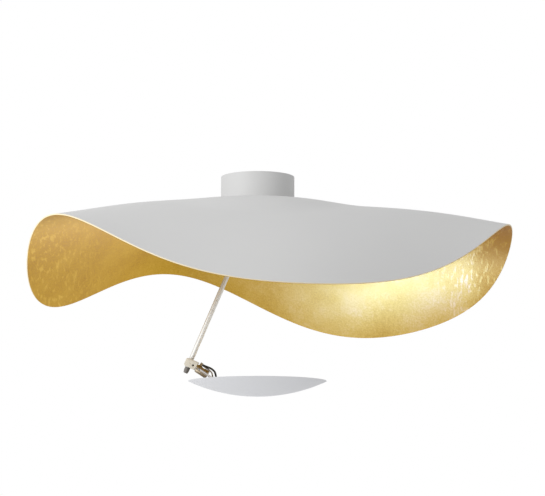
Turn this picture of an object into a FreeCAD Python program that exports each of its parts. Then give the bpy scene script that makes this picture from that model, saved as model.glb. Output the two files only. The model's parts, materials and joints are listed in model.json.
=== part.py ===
"""Wave ceiling light: a bent, gold-leafed reflector with a leaning rod and an adjustable LED disc.

Millimetres. The origin is the middle of the ceiling face, +Z is up, and +X is to the right of a
viewer who stands in front of the lamp, at -Y.
"""
import FreeCAD, Part
import math
import os
import re

import Sketcher
from FreeCAD import Placement, Rotation, Vector

doc = FreeCAD.newDocument("wave_ceiling_light")
sheet = doc.addObject("Spreadsheet::Sheet", "Sizes")

SIZES = (
    # reflector: a flat round blank, bent into arches that lean along a wavy ridge
    ("reflector_radius", 300, "radius of the flat blank"),
    ("reflector_shift", 15, "blank's centre to the right of the lamp's axis"),
    ("shell_thickness", 1.5, "painted aluminium sheet"),
    ("leaf_thickness", 0.3, "gold leaf with its ground coat"),
    ("seat_radius", 50, "flat seat under the cup"),
    ("wave_radius", 150, "from here outwards the sheet follows the wave fully"),
    ("lean_left_tip", 26.4, "arch's lean in degrees, at six even stations from left to right"),
    ("lean_left_lobe", -1.1, "arch's lean"),
    ("lean_waist", -4.9, "arch's lean"),
    ("lean_middle", 0.1, "arch's lean"),
    ("lean_right_lobe", 4.6, "arch's lean"),
    ("lean_right_tip", 21.8, "arch's lean"),
    ("ridge_left_tip", 94.2, "ridge's drop below the seat, at the same stations"),
    ("ridge_left_lobe", 4.7, "ridge's drop"),
    ("ridge_waist", -2.8, "ridge's drop"),
    ("ridge_middle", 4.8, "ridge's drop"),
    ("ridge_right_lobe", 14, "ridge's drop"),
    ("ridge_right_tip", 50.3, "ridge's drop"),
    ("arch_left", 414, "arch's radius at the left tip"),
    ("arch_middle", 369, "arch's radius half way"),
    ("arch_right", 166, "arch's radius at the right tip"),
    # ceiling cup and plate
    ("canopy_radius", 45.75, "cup's outer radius"),
    ("canopy_height", 34, "ceiling to the top of the reflector"),
    ("canopy_wall", 1.5, "cup's wall"),
    ("canopy_round", 2, "cup's lower edge"),
    ("gasket_thickness", 0.5, "gasket between cup and reflector"),
    ("gasket_radius", 30, "gasket's radius"),
    ("plate_gap", 0.5, "ceiling plate to the cup's wall"),
    ("plate_thickness", 2, "ceiling plate"),
    ("slot_spacing", 68, "between the two slots for the ceiling screws"),
    ("slot_width", 4.6, "slot for a 4 mm screw"),
    ("slot_length", 9, "slot's length from end to end"),
    ("ear_width", 12, "plate's ears"),
    ("ear_height", 14, "plate's ears, from the ceiling"),
    ("ear_thickness", 2, "plate's ears"),
    ("ear_inset", 1, "ear's face inside the plate's edge"),
    ("cup_screw_drop", 8, "cup screws below the ceiling"),
    ("cup_screw_radius", 1.5, "M3 screw"),
    ("cup_screw_head", 3, "countersunk head's radius"),
    ("cup_screw_length", 7, "cup screw"),
    ("entry_x", 14, "mains entry, to the right of the axis"),
    ("entry_y", 25, "mains entry, in front of the axis"),
    ("entry_radius", 5.5, "mains entry in the plate"),
    ("grommet_bore", 3.6, "radius of the mains entry's grommet"),
    ("grommet_flange", 7, "grommet's flange radius"),
    ("grommet_lip", 1.2, "thickness of a grommet's flange"),
    # driver and terminals
    ("driver_length", 50, "LED driver, across"),
    ("driver_width", 30, "LED driver, front to back"),
    ("driver_height", 16, "LED driver"),
    ("driver_shift", 13, "LED driver's middle behind the axis"),
    ("driver_edge", 1.5, "chamfer of the driver's lower edges"),
    ("driver_foot", 8, "driver's feet"),
    ("driver_foot_thickness", 2.5, "driver's feet"),
    ("small_screw_radius", 1.5, "M3 screw"),
    ("small_screw_head", 2.75, "M3 pan head's radius"),
    ("small_head_height", 1.8, "M3 pan head"),
    ("driver_screw_length", 4, "driver screw under its head"),
    ("terminal_length", 22, "terminal block, across"),
    ("terminal_width", 14, "terminal block, front to back"),
    ("terminal_height", 12, "terminal block"),
    ("terminal_shift", 13, "terminal block's middle to the left of the axis"),
    ("terminal_forward", 25, "terminal block's middle in front of the axis"),
    ("terminal_pitch", 7, "between poles"),
    ("terminal_screw", 1.9, "radius of a clamping screw"),
    ("terminal_screw_depth", 4, "clamping screw"),
    # bush that clamps the reflector to the cup
    ("bush_radius", 8, "M16 thread"),
    ("hole_gap", 0.2, "around the bush in cup, gasket and reflector"),
    ("bush_flange_radius", 17, "flange under the reflector"),
    ("bush_flange", 3, "flange's thickness"),
    ("bush_proud", 1, "bush above its ring nut"),
    ("nut_washer_radius", 14, "washer under the ring nut"),
    ("nut_washer_thickness", 1, "washer under the ring nut"),
    ("ring_nut_radius", 13, "ring nut"),
    ("ring_nut_height", 5, "ring nut"),
    ("thread_gap", 0.05, "between a nut and its thread"),
    # leaning arm
    ("spigot_radius", 5, "hollow spigot that turns in the bush"),
    ("spigot_bore", 3, "spigot's bore"),
    ("spigot_proud", 1, "spigot above its nut"),
    ("running_fit", 0.05, "radial clearance of a turning or sliding fit"),
    ("face_gap", 0.05, "clearance of a washer's face that turns on another face"),
    ("wave_washer_radius", 7.5, "spring washer under the spigot's nut"),
    ("wave_washer_thickness", 0.8, "spring washer, pressed flat"),
    ("spigot_nut_flats", 16, "across the flats of the spigot's nut"),
    ("spigot_nut_height", 4, "spigot's nut"),
    ("swivel_washer_thickness", 0.8, "nylon friction washer"),
    ("socket_radius", 13, "socket's flange and its washer"),
    ("socket_flange", 5, "socket's flange"),
    ("boss_radius", 7, "leaning boss of the socket"),
    ("boss_start", 10, "boss, along the rod from the rod's origin"),
    ("boss_end", 40, "boss, along the rod from the rod's origin"),
    ("lead_bore", 2.4, "lead's way through the socket"),
    ("rod_lean", 23, "rod's lean to the left in degrees"),
    ("rod_origin_drop", 1, "where the rod's line meets the lamp's axis, below the top of the reflector"),
    ("rod_radius", 3, "rod"),
    ("rod_wall", 0.8, "rod is a tube"),
    ("rod_top", 24, "rod's upper end, along the rod from its origin"),
    ("rod_end", 220, "rod's lower end, along the rod from its origin"),
    ("rod_slot_width", 2.6, "slot at the rod's back for the lead"),
    ("rod_slot_length", 46, "slot at the rod's back"),
    ("rod_slot_margin", 8, "slot's lower end above the rod's lower end"),
    ("rod_screw_radius", 1.5, "M3 grub screw"),
    ("rod_screw_margin", 6, "grub screw above the boss's end"),
    ("cap_radius", 3.3, "rod's end cap"),
    ("cap_length", 7.5, "end cap below the rod"),
    ("cap_plug", 6, "end cap's plug inside the rod"),
    ("cap_taper", 0.8, "end cap's narrowing at its tip"),
    ("lead_radius", 1.25, "black lead"),
    ("lead_gap", 0.3, "lead's upper end below the driver"),
    # clamp on the rod
    ("clamp_station", 214.5, "clamp's middle, along the rod from its origin"),
    ("clamp_height", 10.4, "clamp along the rod"),
    ("clamp_depth", 13, "clamp front to back"),
    ("clamp_back", 5.5, "clamp to the left of the rod's line"),
    ("clamp_face", 9.5, "clamp's face for the fork, along the fork's line"),
    ("clamp_round", 2.5, "clamp's left edges"),
    ("sleeve_wall", 0.5, "nylon sleeve"),
    ("sleeve_split", 1.5, "sleeve's split"),
    ("clamp_screw_radius", 1.5, "M3 grub screw behind"),
    ("screw_socket", 0.75, "hexagon socket of a grub screw, half across flats"),
    ("screw_socket_depth", 1.5, "hexagon socket of a grub screw"),
    ("screw_sink", 0.3, "grub screw's end below the face"),
    ("screw_gap", 0.1, "grub screw's point to what it presses on"),
    # fork
    ("fork_drop", 10, "fork's line below the rod's square, in degrees"),
    ("fork_washer_radius", 4.5, "washer between clamp and fork"),
    ("fork_washer_thickness", 1, "washer between clamp and fork"),
    ("fork_radius", 5.25, "fork's round bar"),
    ("fork_length", 16, "fork beyond its washer"),
    ("fork_slot", 2.6, "slot between the prongs"),
    ("fork_root", 2.3, "solid root of the fork"),
    ("fork_edge", 0.6, "chamfer of the prongs' ends"),
    ("stud_radius", 2.5, "fork's stud in the clamp"),
    ("stud_length", 6.2, "fork's stud, from the fork"),
    ("stud_end_gap", 0.2, "end of the stud's bore"),
    ("groove_width", 1.4, "stud's groove for the front screw"),
    ("groove_depth", 0.7, "stud's groove"),
    ("groove_back", 5, "stud's groove, from the fork"),
    ("fork_screw_radius", 1.25, "M2.5 grub screw in front"),
    ("fork_screw_point", 0.55, "its point in the groove"),
    ("pivot_reach", 18, "fork's cross screw, along the fork's line"),
    ("pivot_radius", 1.5, "cross screw"),
    ("pivot_head", 2.75, "cross screw's head radius"),
    ("pivot_head_height", 1.6, "cross screw's head"),
    ("pivot_seat", 1.1, "prong under the cross screw's head"),
    ("pivot_sink", 1.1, "cross screw's end inside the fork's round"),
    ("counterbore_gap", 0.25, "around the cross screw's head"),
    ("nozzle_start", 1, "lead nozzle on the fork, from the fork's washer"),
    ("nozzle_length", 3, "lead nozzle"),
    ("nozzle_left", 2.2, "lead nozzle in front of the fork's line"),
    ("nozzle_right", 4.6, "lead nozzle behind the fork's line"),
    ("nozzle_root", 3.6, "lead nozzle's foot in the fork, above the fork's line"),
    ("nozzle_top", 8.9, "lead nozzle's top above the fork's line"),
    ("nozzle_bore_gap", 0.1, "around each lead in the nozzle"),
    # disc, measured from the clamp's middle
    ("disc_reach", 83.8, "disc's middle to the right of the clamp's middle"),
    ("disc_drop", 21.9, "disc's rim below the clamp's middle"),
    ("disc_radius", 85.5, "disc's rim"),
    ("disc_depth", 18.7, "disc's bowl"),
    ("bowl_wall", 1.2, "disc's bowl"),
    ("ring_thickness", 1.5, "cover ring"),
    ("seat_gap", 0.05, "ring's edge to the bowl"),
    ("diffuser_lap", 2.7, "diffuser under the ring"),
    ("diffuser_thickness", 1.5, "diffuser"),
    ("spacer_length", 5.5, "ring to heat spreader"),
    ("spacer_radius", 3, "spacers"),
    ("spreader_radius", 57.5, "heat spreader"),
    ("spreader_thickness", 2, "heat spreader"),
    ("pillar_radius", 12, "heat spreader's pillar down to the bowl"),
    ("board_radius", 36, "LED board"),
    ("board_thickness", 1.6, "LED board"),
    ("board_hole", 6.5, "LED board's hole for the nut"),
    ("chip_size", 3, "LED package"),
    ("chip_height", 0.7, "LED package"),
    ("chip_outer_circle", 28, "outer ring of LEDs"),
    ("chip_inner_circle", 16, "inner ring of LEDs"),
    ("stud_thread", 2.5, "disc's centre stud"),
    ("centre_nut_flats", 8, "across the flats of the disc's nut"),
    ("centre_nut_height", 3, "disc's nut"),
    ("centre_proud", 0.5, "disc's stud above its nut"),
    ("lug_thickness", 2.4, "bent lug"),
    ("lug_width", 9, "bent lug"),
    ("lug_foot", 12.8, "lug's foot beyond its bend"),
    ("lug_lap", 2.3, "lug's end to the ring's window"),
    ("lug_screw_radius", 1.25, "M2.5 screw"),
    ("lug_screw_head", 2.2, "its head"),
    ("lug_head_height", 1.6, "its head"),
    ("lug_screw_margin", 3.8, "first lug screw beyond the bend"),
    ("lug_screw_pitch", 5.5, "between the lug screws"),
    # leads from the fork to the disc
    ("grey_lead_radius", 0.9, "grey lead"),
    ("black_height", 6.9, "black lead above the fork's line at the nozzle"),
    ("black_start", 15.3, "black lead's start along the fork's line"),
    ("grey_height", 6.6, "grey lead above the fork's line at the nozzle"),
    ("grey_side", 3, "grey lead behind the fork's line at the nozzle"),
    ("grey_start", 18.6, "grey lead's start along the fork's line"),
    ("black_entry_x", 33, "black lead's entry to the right of the clamp's middle"),
    ("black_entry_y", 12, "black lead's entry behind the fork's line"),
    ("grey_entry_x", 29, "grey lead's entry to the right of the clamp's middle"),
    ("grey_entry_y", 7.6, "grey lead's entry behind the fork's line"),
    ("entry_rise", 9, "leads turn straight down this far above the disc's rim"),
    ("black_crest_x", 28.3, "black lead's crest to the right of the clamp's middle"),
    ("black_crest_y", 4, "black lead's crest behind the fork's line"),
    ("black_crest_drop", 6.5, "black lead's crest below the clamp's middle"),
    ("grey_crest_x", 24.5, "grey lead's crest to the right of the clamp's middle"),
    ("grey_crest_y", 4, "grey lead's crest behind the fork's line"),
    ("grey_crest_drop", 8.1, "grey lead's crest below the clamp's middle"),
    ("entry_flange", 2.6, "disc grommet's flange radius"),
    ("entry_wall", 0.6, "disc grommet's wall"),
    ("entry_lip", 0.8, "disc grommet's flanges"),
)
SPACERS = 3
OUTER_CHIPS = 16
INNER_CHIPS = 8
TERMINALS = 3
RING_COUNT = 16
RING_POINTS = 64
BEND_SHARE = 0.45
NAMES = {name for name, _, _ in SIZES}
STATIONS = ("left_tip", "left_lobe", "waist", "middle", "right_lobe", "right_tip")

for row, (name, value, meaning) in enumerate(SIZES, start=1):
    sheet.set(f"A{row}", name)
    sheet.set(f"B{row}", str(value))
    sheet.set(f"C{row}", meaning)
    sheet.setAlias(f"B{row}", name)
doc.recompute()


def tie(text):
    """An expression in the sheet's names, written as the document's objects read it."""
    return re.sub(r"[a-z][a-z0-9_]*", lambda m: "Sizes." + m[0] if m[0] in NAMES else m[0], text)


def number(text):
    """The value that an expression has now."""
    return float(sheet.evalExpression(tie(text)))


# lines that several pieces share
ARM = "(rod_lean + fork_drop)"
CLAMP_X = "(-clamp_station * sin(rod_lean))"
ROD_ORIGIN = "(canopy_height + rod_origin_drop)"
CLAMP_Z = f"(-{ROD_ORIGIN} - clamp_station * cos(rod_lean))"
DISC_X = f"({CLAMP_X} + disc_reach)"
DISC_Z = f"({CLAMP_Z} - disc_drop)"
CUP_FLOOR = "(canopy_height - gasket_thickness)"
CUP_BORE = "(canopy_radius - canopy_wall)"
PLATE = f"({CUP_BORE} - plate_gap)"
EAR_FACE = f"({PLATE} - ear_inset)"
SHEET_UNDERSIDE = "(canopy_height + shell_thickness + leaf_thickness)"
BUSH_HOLE = "(bush_radius + hole_gap)"
BUSH_TOP = f"({CUP_FLOOR} - canopy_wall - nut_washer_thickness - ring_nut_height - bush_proud)"
BUSH_BORE = "(spigot_radius + running_fit)"
FLANGE_UNDERSIDE = f"({SHEET_UNDERSIDE} + bush_flange)"
SWIVEL_TOP = f"({FLANGE_UNDERSIDE} + face_gap)"
SOCKET_TOP = f"({SWIVEL_TOP} + swivel_washer_thickness)"
WAVE_LOW = f"({BUSH_TOP} - face_gap)"
WAVE_TOP = f"({WAVE_LOW} - wave_washer_thickness)"
SPIGOT_TOP = f"({WAVE_TOP} - spigot_nut_height - spigot_proud)"
SLEEVE_BORE = "(rod_radius + running_fit)"
SLEEVE_RADIUS = f"({SLEEVE_BORE} + sleeve_wall)"
CLAMP_BORE = f"({SLEEVE_RADIUS} + running_fit)"
FORK_START = "(clamp_face + face_gap + fork_washer_thickness)"
FORK_END = f"({FORK_START} + fork_length)"
GROOVE = f"({FORK_START} - groove_back)"
LUG_HALF = "(lug_thickness / 2)"
LUG_BEND = f"(({LUG_HALF} * cos({ARM}) + disc_drop - lug_thickness) / tan({ARM}) + {LUG_HALF} * sin({ARM}))"
LUG_END = f"({LUG_BEND} + lug_foot)"
LUG_SCREWS = (f"({LUG_BEND} + lug_screw_margin)", f"({LUG_BEND} + lug_screw_margin + lug_screw_pitch)")
RING_WINDOW = f"(disc_reach - {LUG_END} - lug_lap)"
BOWL_ROUND = "((disc_radius^2 + disc_depth^2) / (2 * disc_depth))"
BOWL_INSIDE = f"({BOWL_ROUND} - bowl_wall)"
BOWL_CENTRE = f"({BOWL_ROUND} - disc_depth)"
RING_EDGE = f"(sqrt({BOWL_INSIDE}^2 - ({BOWL_CENTRE} + ring_thickness)^2) - seat_gap)"
SPREADER_TOP = "(ring_thickness + spacer_length)"
SPREADER_UNDERSIDE = f"({SPREADER_TOP} + spreader_thickness)"
BOARD_TOP = f"({SPREADER_TOP} - board_thickness)"
DIFFUSER = f"({RING_WINDOW} + diffuser_lap)"
SPACER_CIRCLE = f"(({DIFFUSER} + spreader_radius) / 2)"
DRIVER_SCREW_X = "((driver_length + driver_foot) / 2)"
ROD_SCREW = "(boss_end - rod_screw_margin)"
LEAD_END = "(clamp_station - clamp_height / 2)"
ENTRY_BODY = "(hole_gap + entry_wall)"


def new_body(label, x="0", z="0", turn=None, group=False):
    """A body with its own label, placed at x and z and turned about the front-to-back axis."""
    body = doc.addObject("PartDesign::Body", label)
    body.Label = label
    body.AllowCompound = group
    if turn:
        body.Placement = Placement(Vector(), Rotation(Vector(0, 1, 0), 1))
        body.setExpression("Placement.Rotation.Angle", tie(turn))
    body.setExpression("Placement.Base.x", tie(x))
    body.setExpression("Placement.Base.z", tie(z))
    return body


def origin_part(body, role):
    """One of a body's own origin planes or axes."""
    return next(item for item in body.Origin.OriginFeatures if item.Role == role)


def new_sketch(body, role, x="0", y="0", z="0", turn=None):
    """A sketch on an origin plane, moved along the plane's own x, y and normal, and turned about its y."""
    sketch = body.newObject("Sketcher::SketchObject", body.Label + "_sketch")
    sketch.AttachmentSupport = [(origin_part(body, role), "")]
    sketch.MapMode = "FlatFace"
    if turn:
        sketch.AttachmentOffset = Placement(Vector(), Rotation(Vector(0, 1, 0), 1))
        sketch.setExpression("AttachmentOffset.Rotation.Angle", tie(turn))
    for axis, text in zip("xyz", (x, y, z)):
        if text != "0":
            sketch.setExpression(f"AttachmentOffset.Base.{axis}", tie(text))
    return sketch


def bind(sketch, constraint, text):
    """Adds a constraint whose value is an expression."""
    index = sketch.addConstraint(constraint)
    sketch.setExpression(f"Constraints[{index}]", tie(text))


def pin_point(sketch, index, end, x, y):
    """Holds one end of an edge at a place given by two expressions."""
    bind(sketch, Sketcher.Constraint("DistanceX", -1, 1, index, end, number(x)), x)
    bind(sketch, Sketcher.Constraint("DistanceY", -1, 1, index, end, number(y)), y)


def draw_outline(sketch, corners):
    """A closed outline through corners (x, y) or (x, y, centre_x).

    A third value makes the edge that leaves the corner an arc, drawn counter-clockwise about a centre
    at that x.
    """
    points = [Vector(number(corner[0]), number(corner[1]), 0) for corner in corners]
    edges = []
    for place, corner in enumerate(corners):
        start = points[place]
        stop = points[(place + 1) % len(points)]
        if len(corner) == 2:
            index = sketch.addGeometry(Part.LineSegment(start, stop), False)
        else:
            chord = stop - start
            middle = (start + stop) * 0.5
            side = Vector(-chord.y, chord.x, 0)
            centre = middle + side * ((number(corner[2]) - middle.x) / side.x)
            angles = [math.atan2(point.y - centre.y, point.x - centre.x) for point in (start, stop)]
            circle = Part.Circle(centre, Vector(0, 0, 1), (start - centre).Length)
            index = sketch.addGeometry(Part.ArcOfCircle(circle, *angles), False)
            bind(sketch, Sketcher.Constraint("DistanceX", -1, 1, index, 3, centre.x), corner[2])
        pin_point(sketch, index, 1, corner[0], corner[1])
        edges.append(index)
    for index, following in zip(edges, edges[1:] + edges[:1]):
        sketch.addConstraint(Sketcher.Constraint("Coincident", index, 2, following, 1))


def draw_circle(sketch, radius, x="0", y="0"):
    """A circle whose centre and radius are expressions."""
    centre = Vector(number(x), number(y), 0)
    index = sketch.addGeometry(Part.Circle(centre, Vector(0, 0, 1), number(radius)), False)
    bind(sketch, Sketcher.Constraint("Radius", index, number(radius)), radius)
    pin_point(sketch, index, 3, x, y)


def draw_box(sketch, width, height, x="0", y="0"):
    """A rectangle about a centre."""
    draw_outline(sketch, [
        (f"{x} - ({width}) / 2", f"{y} - ({height}) / 2"),
        (f"{x} + ({width}) / 2", f"{y} - ({height}) / 2"),
        (f"{x} + ({width}) / 2", f"{y} + ({height}) / 2"),
        (f"{x} - ({width}) / 2", f"{y} + ({height}) / 2"),
    ])


def draw_hexagon(sketch, flats, x="0", y="0"):
    """A hexagon with the given size across its flats."""
    corners = []
    for step in range(6):
        angle = 60 * step
        reach = f"({flats}) / sqrt(3)"
        corners.append((f"{x} + {reach} * cos({angle})", f"{y} + {reach} * sin({angle})"))
    draw_outline(sketch, corners)


def feature(body, kind, sketch, **settings):
    """A feature made from a sketch; a length or an angle is an expression in the sheet's names."""
    item = body.newObject("PartDesign::" + kind, body.Label + "_" + kind.lower())
    item.Profile = sketch
    for name, value in settings.items():
        if isinstance(value, str) and name in ("Length", "Angle"):
            item.setExpression(name, tie(value))
        else:
            setattr(item, name, value)
    sketch.Visibility = False
    doc.recompute()
    return item


def revolve(body, sketch, axis="V_Axis"):
    """A full turn of a sketch about one of its own axes."""
    return feature(body, "Revolution", sketch, ReferenceAxis=(sketch, [axis]), Angle="360")


def pad(body, sketch, length, **settings):
    """A straight pad."""
    return feature(body, "Pad", sketch, Length=length, **settings)


def cut(body, kind, sketch, **settings):
    """A pocket or groove that has to take something away."""
    before = body.Shape.Volume
    item = feature(body, kind, sketch, **settings)
    if body.Shape.Volume > before - 1e-6:
        raise RuntimeError(f"{body.Label}: {item.Label} cuts nothing")
    return item


def drill(body, sketch, **settings):
    """A pocket right through, both ways from the sketch."""
    return cut(body, "Pocket", sketch, Type="ThroughAll", SideType="Symmetric", **settings)


def repeat_round(body, item, count):
    """Repeats a feature round the body's vertical axis."""
    pattern = body.newObject("PartDesign::PolarPattern", body.Label + "_pattern")
    pattern.Originals = [item]
    pattern.Axis = (origin_part(body, "Z_Axis"), [""])
    pattern.Angle = 360
    pattern.Occurrences = count
    body.Tip = pattern
    doc.recompute()
    return pattern


def turned(label, corners, **place):
    """A turned piece: one outline revolved about the body's vertical axis."""
    body = new_body(label, **place)
    sketch = new_sketch(body, "XZ_Plane")
    draw_outline(sketch, corners)
    revolve(body, sketch)
    return body


def turned_ring(label, inner, outer, low, high, **place):
    """A plain ring between two radii and two heights."""
    return turned(label, [(inner, low), (outer, low), (outer, high), (inner, high)], **place)


def hex_nut(label, flats, bore, low, height, **place):
    """A hexagon nut with a plain bore, standing on low."""
    body = new_body(label, **place)
    sketch = new_sketch(body, "XY_Plane", z=low)
    draw_hexagon(sketch, flats)
    draw_circle(sketch, bore)
    pad(body, sketch, height)
    return body


def edges_at(body, test):
    """Names of the edges of a body's tip that pass a test."""
    tip = body.Tip
    return tip, [f"Edge{place}" for place, edge in enumerate(tip.Shape.Edges, start=1) if test(edge)]


def soften(body, kind, size_name, size, test):
    """A fillet or chamfer on the edges that pass a test."""
    tip, names = edges_at(body, test)
    item = body.newObject("PartDesign::" + kind, body.Label + "_" + kind.lower())
    item.Base = (tip, names)
    item.setExpression(size_name, tie(size))
    body.Tip = item
    doc.recompute()
    return item


# reflector

def blend_values(values, position):
    """The curve through evenly spaced values, at a position from 0 to 1 (Lagrange's polynomial)."""
    count = len(values)
    total = 0.0
    for here, value in enumerate(values):
        weight = value
        for other in range(count):
            if other != here:
                weight *= (position * (count - 1) - other) / (here - other)
        total += weight
    return total


class Wave:
    """The bent sheet's surface: a place on the flat blank gives a point in space."""

    def __init__(self):
        self.radius = number("reflector_radius")
        self.shift = number("reflector_shift")
        self.seat = number("seat_radius")
        self.free = number("wave_radius")
        self.top = -number("canopy_height")
        self.leans = [math.radians(number("lean_" + name)) for name in STATIONS]
        self.ridges = [number("ridge_" + name) for name in STATIONS]
        self.bends = [1 / number("arch_" + name) for name in ("left", "middle", "right")]

    def point(self, across, along):
        """Upper face above a place on the blank, both measured from the lamp's axis."""
        position = (across - self.shift + self.radius) / (2 * self.radius)
        bend = blend_values(self.bends, position)
        lean = blend_values(self.leans, position)
        ridge = blend_values(self.ridges, position)
        reach = (math.sin(lean + bend * along) - math.sin(lean)) / bend
        drop = ridge + (math.cos(lean) - math.cos(lean + bend * along)) / bend
        share = (math.hypot(across, along) - self.seat) / (self.free - self.seat)
        share = min(max(share, 0), 1)
        share = share ** 3 * (share * (6 * share - 15) + 10)
        return Vector(across, along + (reach - along) * share, self.top - drop * share)

    def sunk_point(self, across, along, depth):
        """The point that lies the given depth under the upper face, square to it."""
        step = 0.01
        sideways = self.point(across + step, along) - self.point(across - step, along)
        forwards = self.point(across, along + step) - self.point(across, along - step)
        normal = sideways.cross(forwards).normalize()
        return self.point(across, along) - normal * depth

    def ring(self, share, depth):
        """A closed curve round the sheet, from the seat's edge (share 0) to the rim (share 1)."""
        radius = self.seat + (self.radius - self.seat) * share
        points = []
        for place in range(RING_POINTS):
            angle = 2 * math.pi * place / RING_POINTS
            across = self.shift * share + radius * math.cos(angle)
            points.append(self.sunk_point(across, radius * math.sin(angle), depth))
        curve = Part.BSplineCurve()
        curve.interpolate(Points=points, PeriodicFlag=True)
        return Part.Wire([curve.toShape()])

    def face(self, depth):
        """The wavy face at a depth, with its inner and outer curves."""
        rings = [self.ring(step / RING_COUNT, depth) for step in range(RING_COUNT + 1)]
        return Part.makeLoft(rings, False, False).Faces[0], rings[0], rings[-1]


def sheet_solid(upper, lower, hole):
    """A closed sheet between two wavy faces, flat at its seat, with a round hole in the middle."""
    seats = []
    circles = []
    for _, inner, _ in (upper, lower):
        height = inner.BoundBox.ZMin
        circle = Part.Wire([Part.makeCircle(hole, Vector(0, 0, height))])
        circles.append(circle)
        seats.append(Part.makeFace([inner, circle], "Part::FaceMakerBullseye"))
    bore = Part.makeRuledSurface(circles[0], circles[1])
    rim = Part.makeRuledSurface(upper[2], lower[2])
    shell = Part.Shell([upper[0], lower[0], *seats, *bore.Faces, *rim.Faces])
    shell.sewShape()
    solid = Part.Solid(shell.Shells[0])
    solid.fixTolerance(1e-4)
    if solid.Volume < 0:
        solid.reverse()
    return solid


def build_reflector():
    """The painted sheet and the leaf lining under it, which share a face."""
    wave = Wave()
    hole = number(BUSH_HOLE)
    shell_depth = number("shell_thickness")
    faces = [wave.face(depth) for depth in (0, shell_depth, shell_depth + number("leaf_thickness"))]
    parts = []
    for label, upper, lower in (("reflector_shell", 0, 1), ("gold_leaf_lining", 1, 2)):
        item = doc.addObject("Part::Feature", label)
        item.Label = label
        item.Shape = sheet_solid(faces[upper], faces[lower], hole)
        item.Placement = Placement()
        parts.append(item)
    return parts


# ceiling cup

def build_ceiling_plate():
    """Plate with two slots, the mains entry, two ears and the driver's threaded holes."""
    body = new_body("ceiling_plate")
    sketch = new_sketch(body, "XY_Plane")
    draw_circle(sketch, PLATE)
    draw_circle(sketch, "entry_radius", "entry_x", "-entry_y")
    for side in ("1", "-1"):
        middle = f"{side} * slot_spacing / 2"
        run = "(slot_length - slot_width) / 2"
        draw_outline(sketch, [
            (f"{middle} - {run}", "-slot_width / 2"),
            (f"{middle} + {run}", "-slot_width / 2", f"{middle} + {run}"),
            (f"{middle} + {run}", "slot_width / 2"),
            (f"{middle} - {run}", "slot_width / 2", f"{middle} - {run}"),
        ])
        draw_circle(sketch, "small_screw_radius", f"{side} * {DRIVER_SCREW_X}", "driver_shift")
    pad(body, sketch, "plate_thickness", Reversed=True)
    ears = new_sketch(body, "XY_Plane")
    for side in ("1", "-1"):
        draw_box(ears, "ear_thickness", "ear_width", f"{side} * ({EAR_FACE} - ear_thickness / 2)")
    pad(body, ears, "ear_height", Reversed=True)
    holes = new_sketch(body, "YZ_Plane")
    draw_circle(holes, "cup_screw_radius", "0", "-cup_screw_drop")
    drill(body, holes)
    return body


def build_canopy_cup():
    """Spun cup with a hole for the bush and two countersunk side holes."""
    body = turned("canopy_cup", [
        (BUSH_HOLE, f"-{CUP_FLOOR}"),
        ("canopy_radius", f"-{CUP_FLOOR}"),
        ("canopy_radius", "0"),
        (CUP_BORE, "0"),
        (CUP_BORE, f"canopy_wall - {CUP_FLOOR}"),
        (BUSH_HOLE, f"canopy_wall - {CUP_FLOOR}"),
    ])
    floor = -number(CUP_FLOOR)
    outer = number("canopy_radius")

    def is_lower_edge(edge):
        box = edge.BoundBox
        return abs(box.ZMax - floor) < 1e-4 and abs(box.XMax - outer) < 1e-4

    soften(body, "Fillet", "Radius", "canopy_round", is_lower_edge)
    holes = new_sketch(body, "YZ_Plane")
    draw_circle(holes, "cup_screw_radius + hole_gap", "0", "-cup_screw_drop")
    drill(body, holes)
    cones = new_sketch(body, "XZ_Plane", y="-cup_screw_drop")
    for side in ("1", "-1"):
        draw_outline(cones, [
            (f"{side} * (canopy_radius - cup_screw_head)", "0"),
            (f"{side} * (canopy_radius + hole_gap)", "0"),
            (f"{side} * (canopy_radius + hole_gap)", "cup_screw_head + hole_gap"),
        ])
    cut(body, "Groove", cones, ReferenceAxis=(cones, ["H_Axis"]), Angle="360")
    return body


def build_cup_screws():
    """Two countersunk screws, their heads flush with the cup."""
    body = new_body("cup_screws", group=True)
    sketch = new_sketch(body, "XZ_Plane", y="-cup_screw_drop")
    for side in ("1", "-1"):
        draw_outline(sketch, [
            (f"{side} * (canopy_radius - hole_gap)", "0"),
            (f"{side} * (canopy_radius - hole_gap)", "cup_screw_head - hole_gap"),
            (f"{side} * (canopy_radius + cup_screw_radius - cup_screw_head - thread_gap)",
             "cup_screw_radius - thread_gap"),
            (f"{side} * (canopy_radius - cup_screw_length)", "cup_screw_radius - thread_gap"),
            (f"{side} * (canopy_radius - cup_screw_length)", "0"),
        ])
    revolve(body, sketch, "H_Axis")
    return body


def build_cable_grommet():
    """Rubber grommet in the mains entry."""
    body = new_body("cable_grommet")
    sketch = new_sketch(body, "XY_Plane", x="entry_x", y="-entry_y")
    draw_circle(sketch, "entry_radius")
    draw_circle(sketch, "grommet_bore")
    pad(body, sketch, "plate_thickness + grommet_lip", Reversed=True)
    flange = new_sketch(body, "XY_Plane", x="entry_x", y="-entry_y", z="-plate_thickness")
    draw_circle(flange, "grommet_flange")
    draw_circle(flange, "grommet_bore")
    pad(body, flange, "grommet_lip", Reversed=True)
    return body


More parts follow.
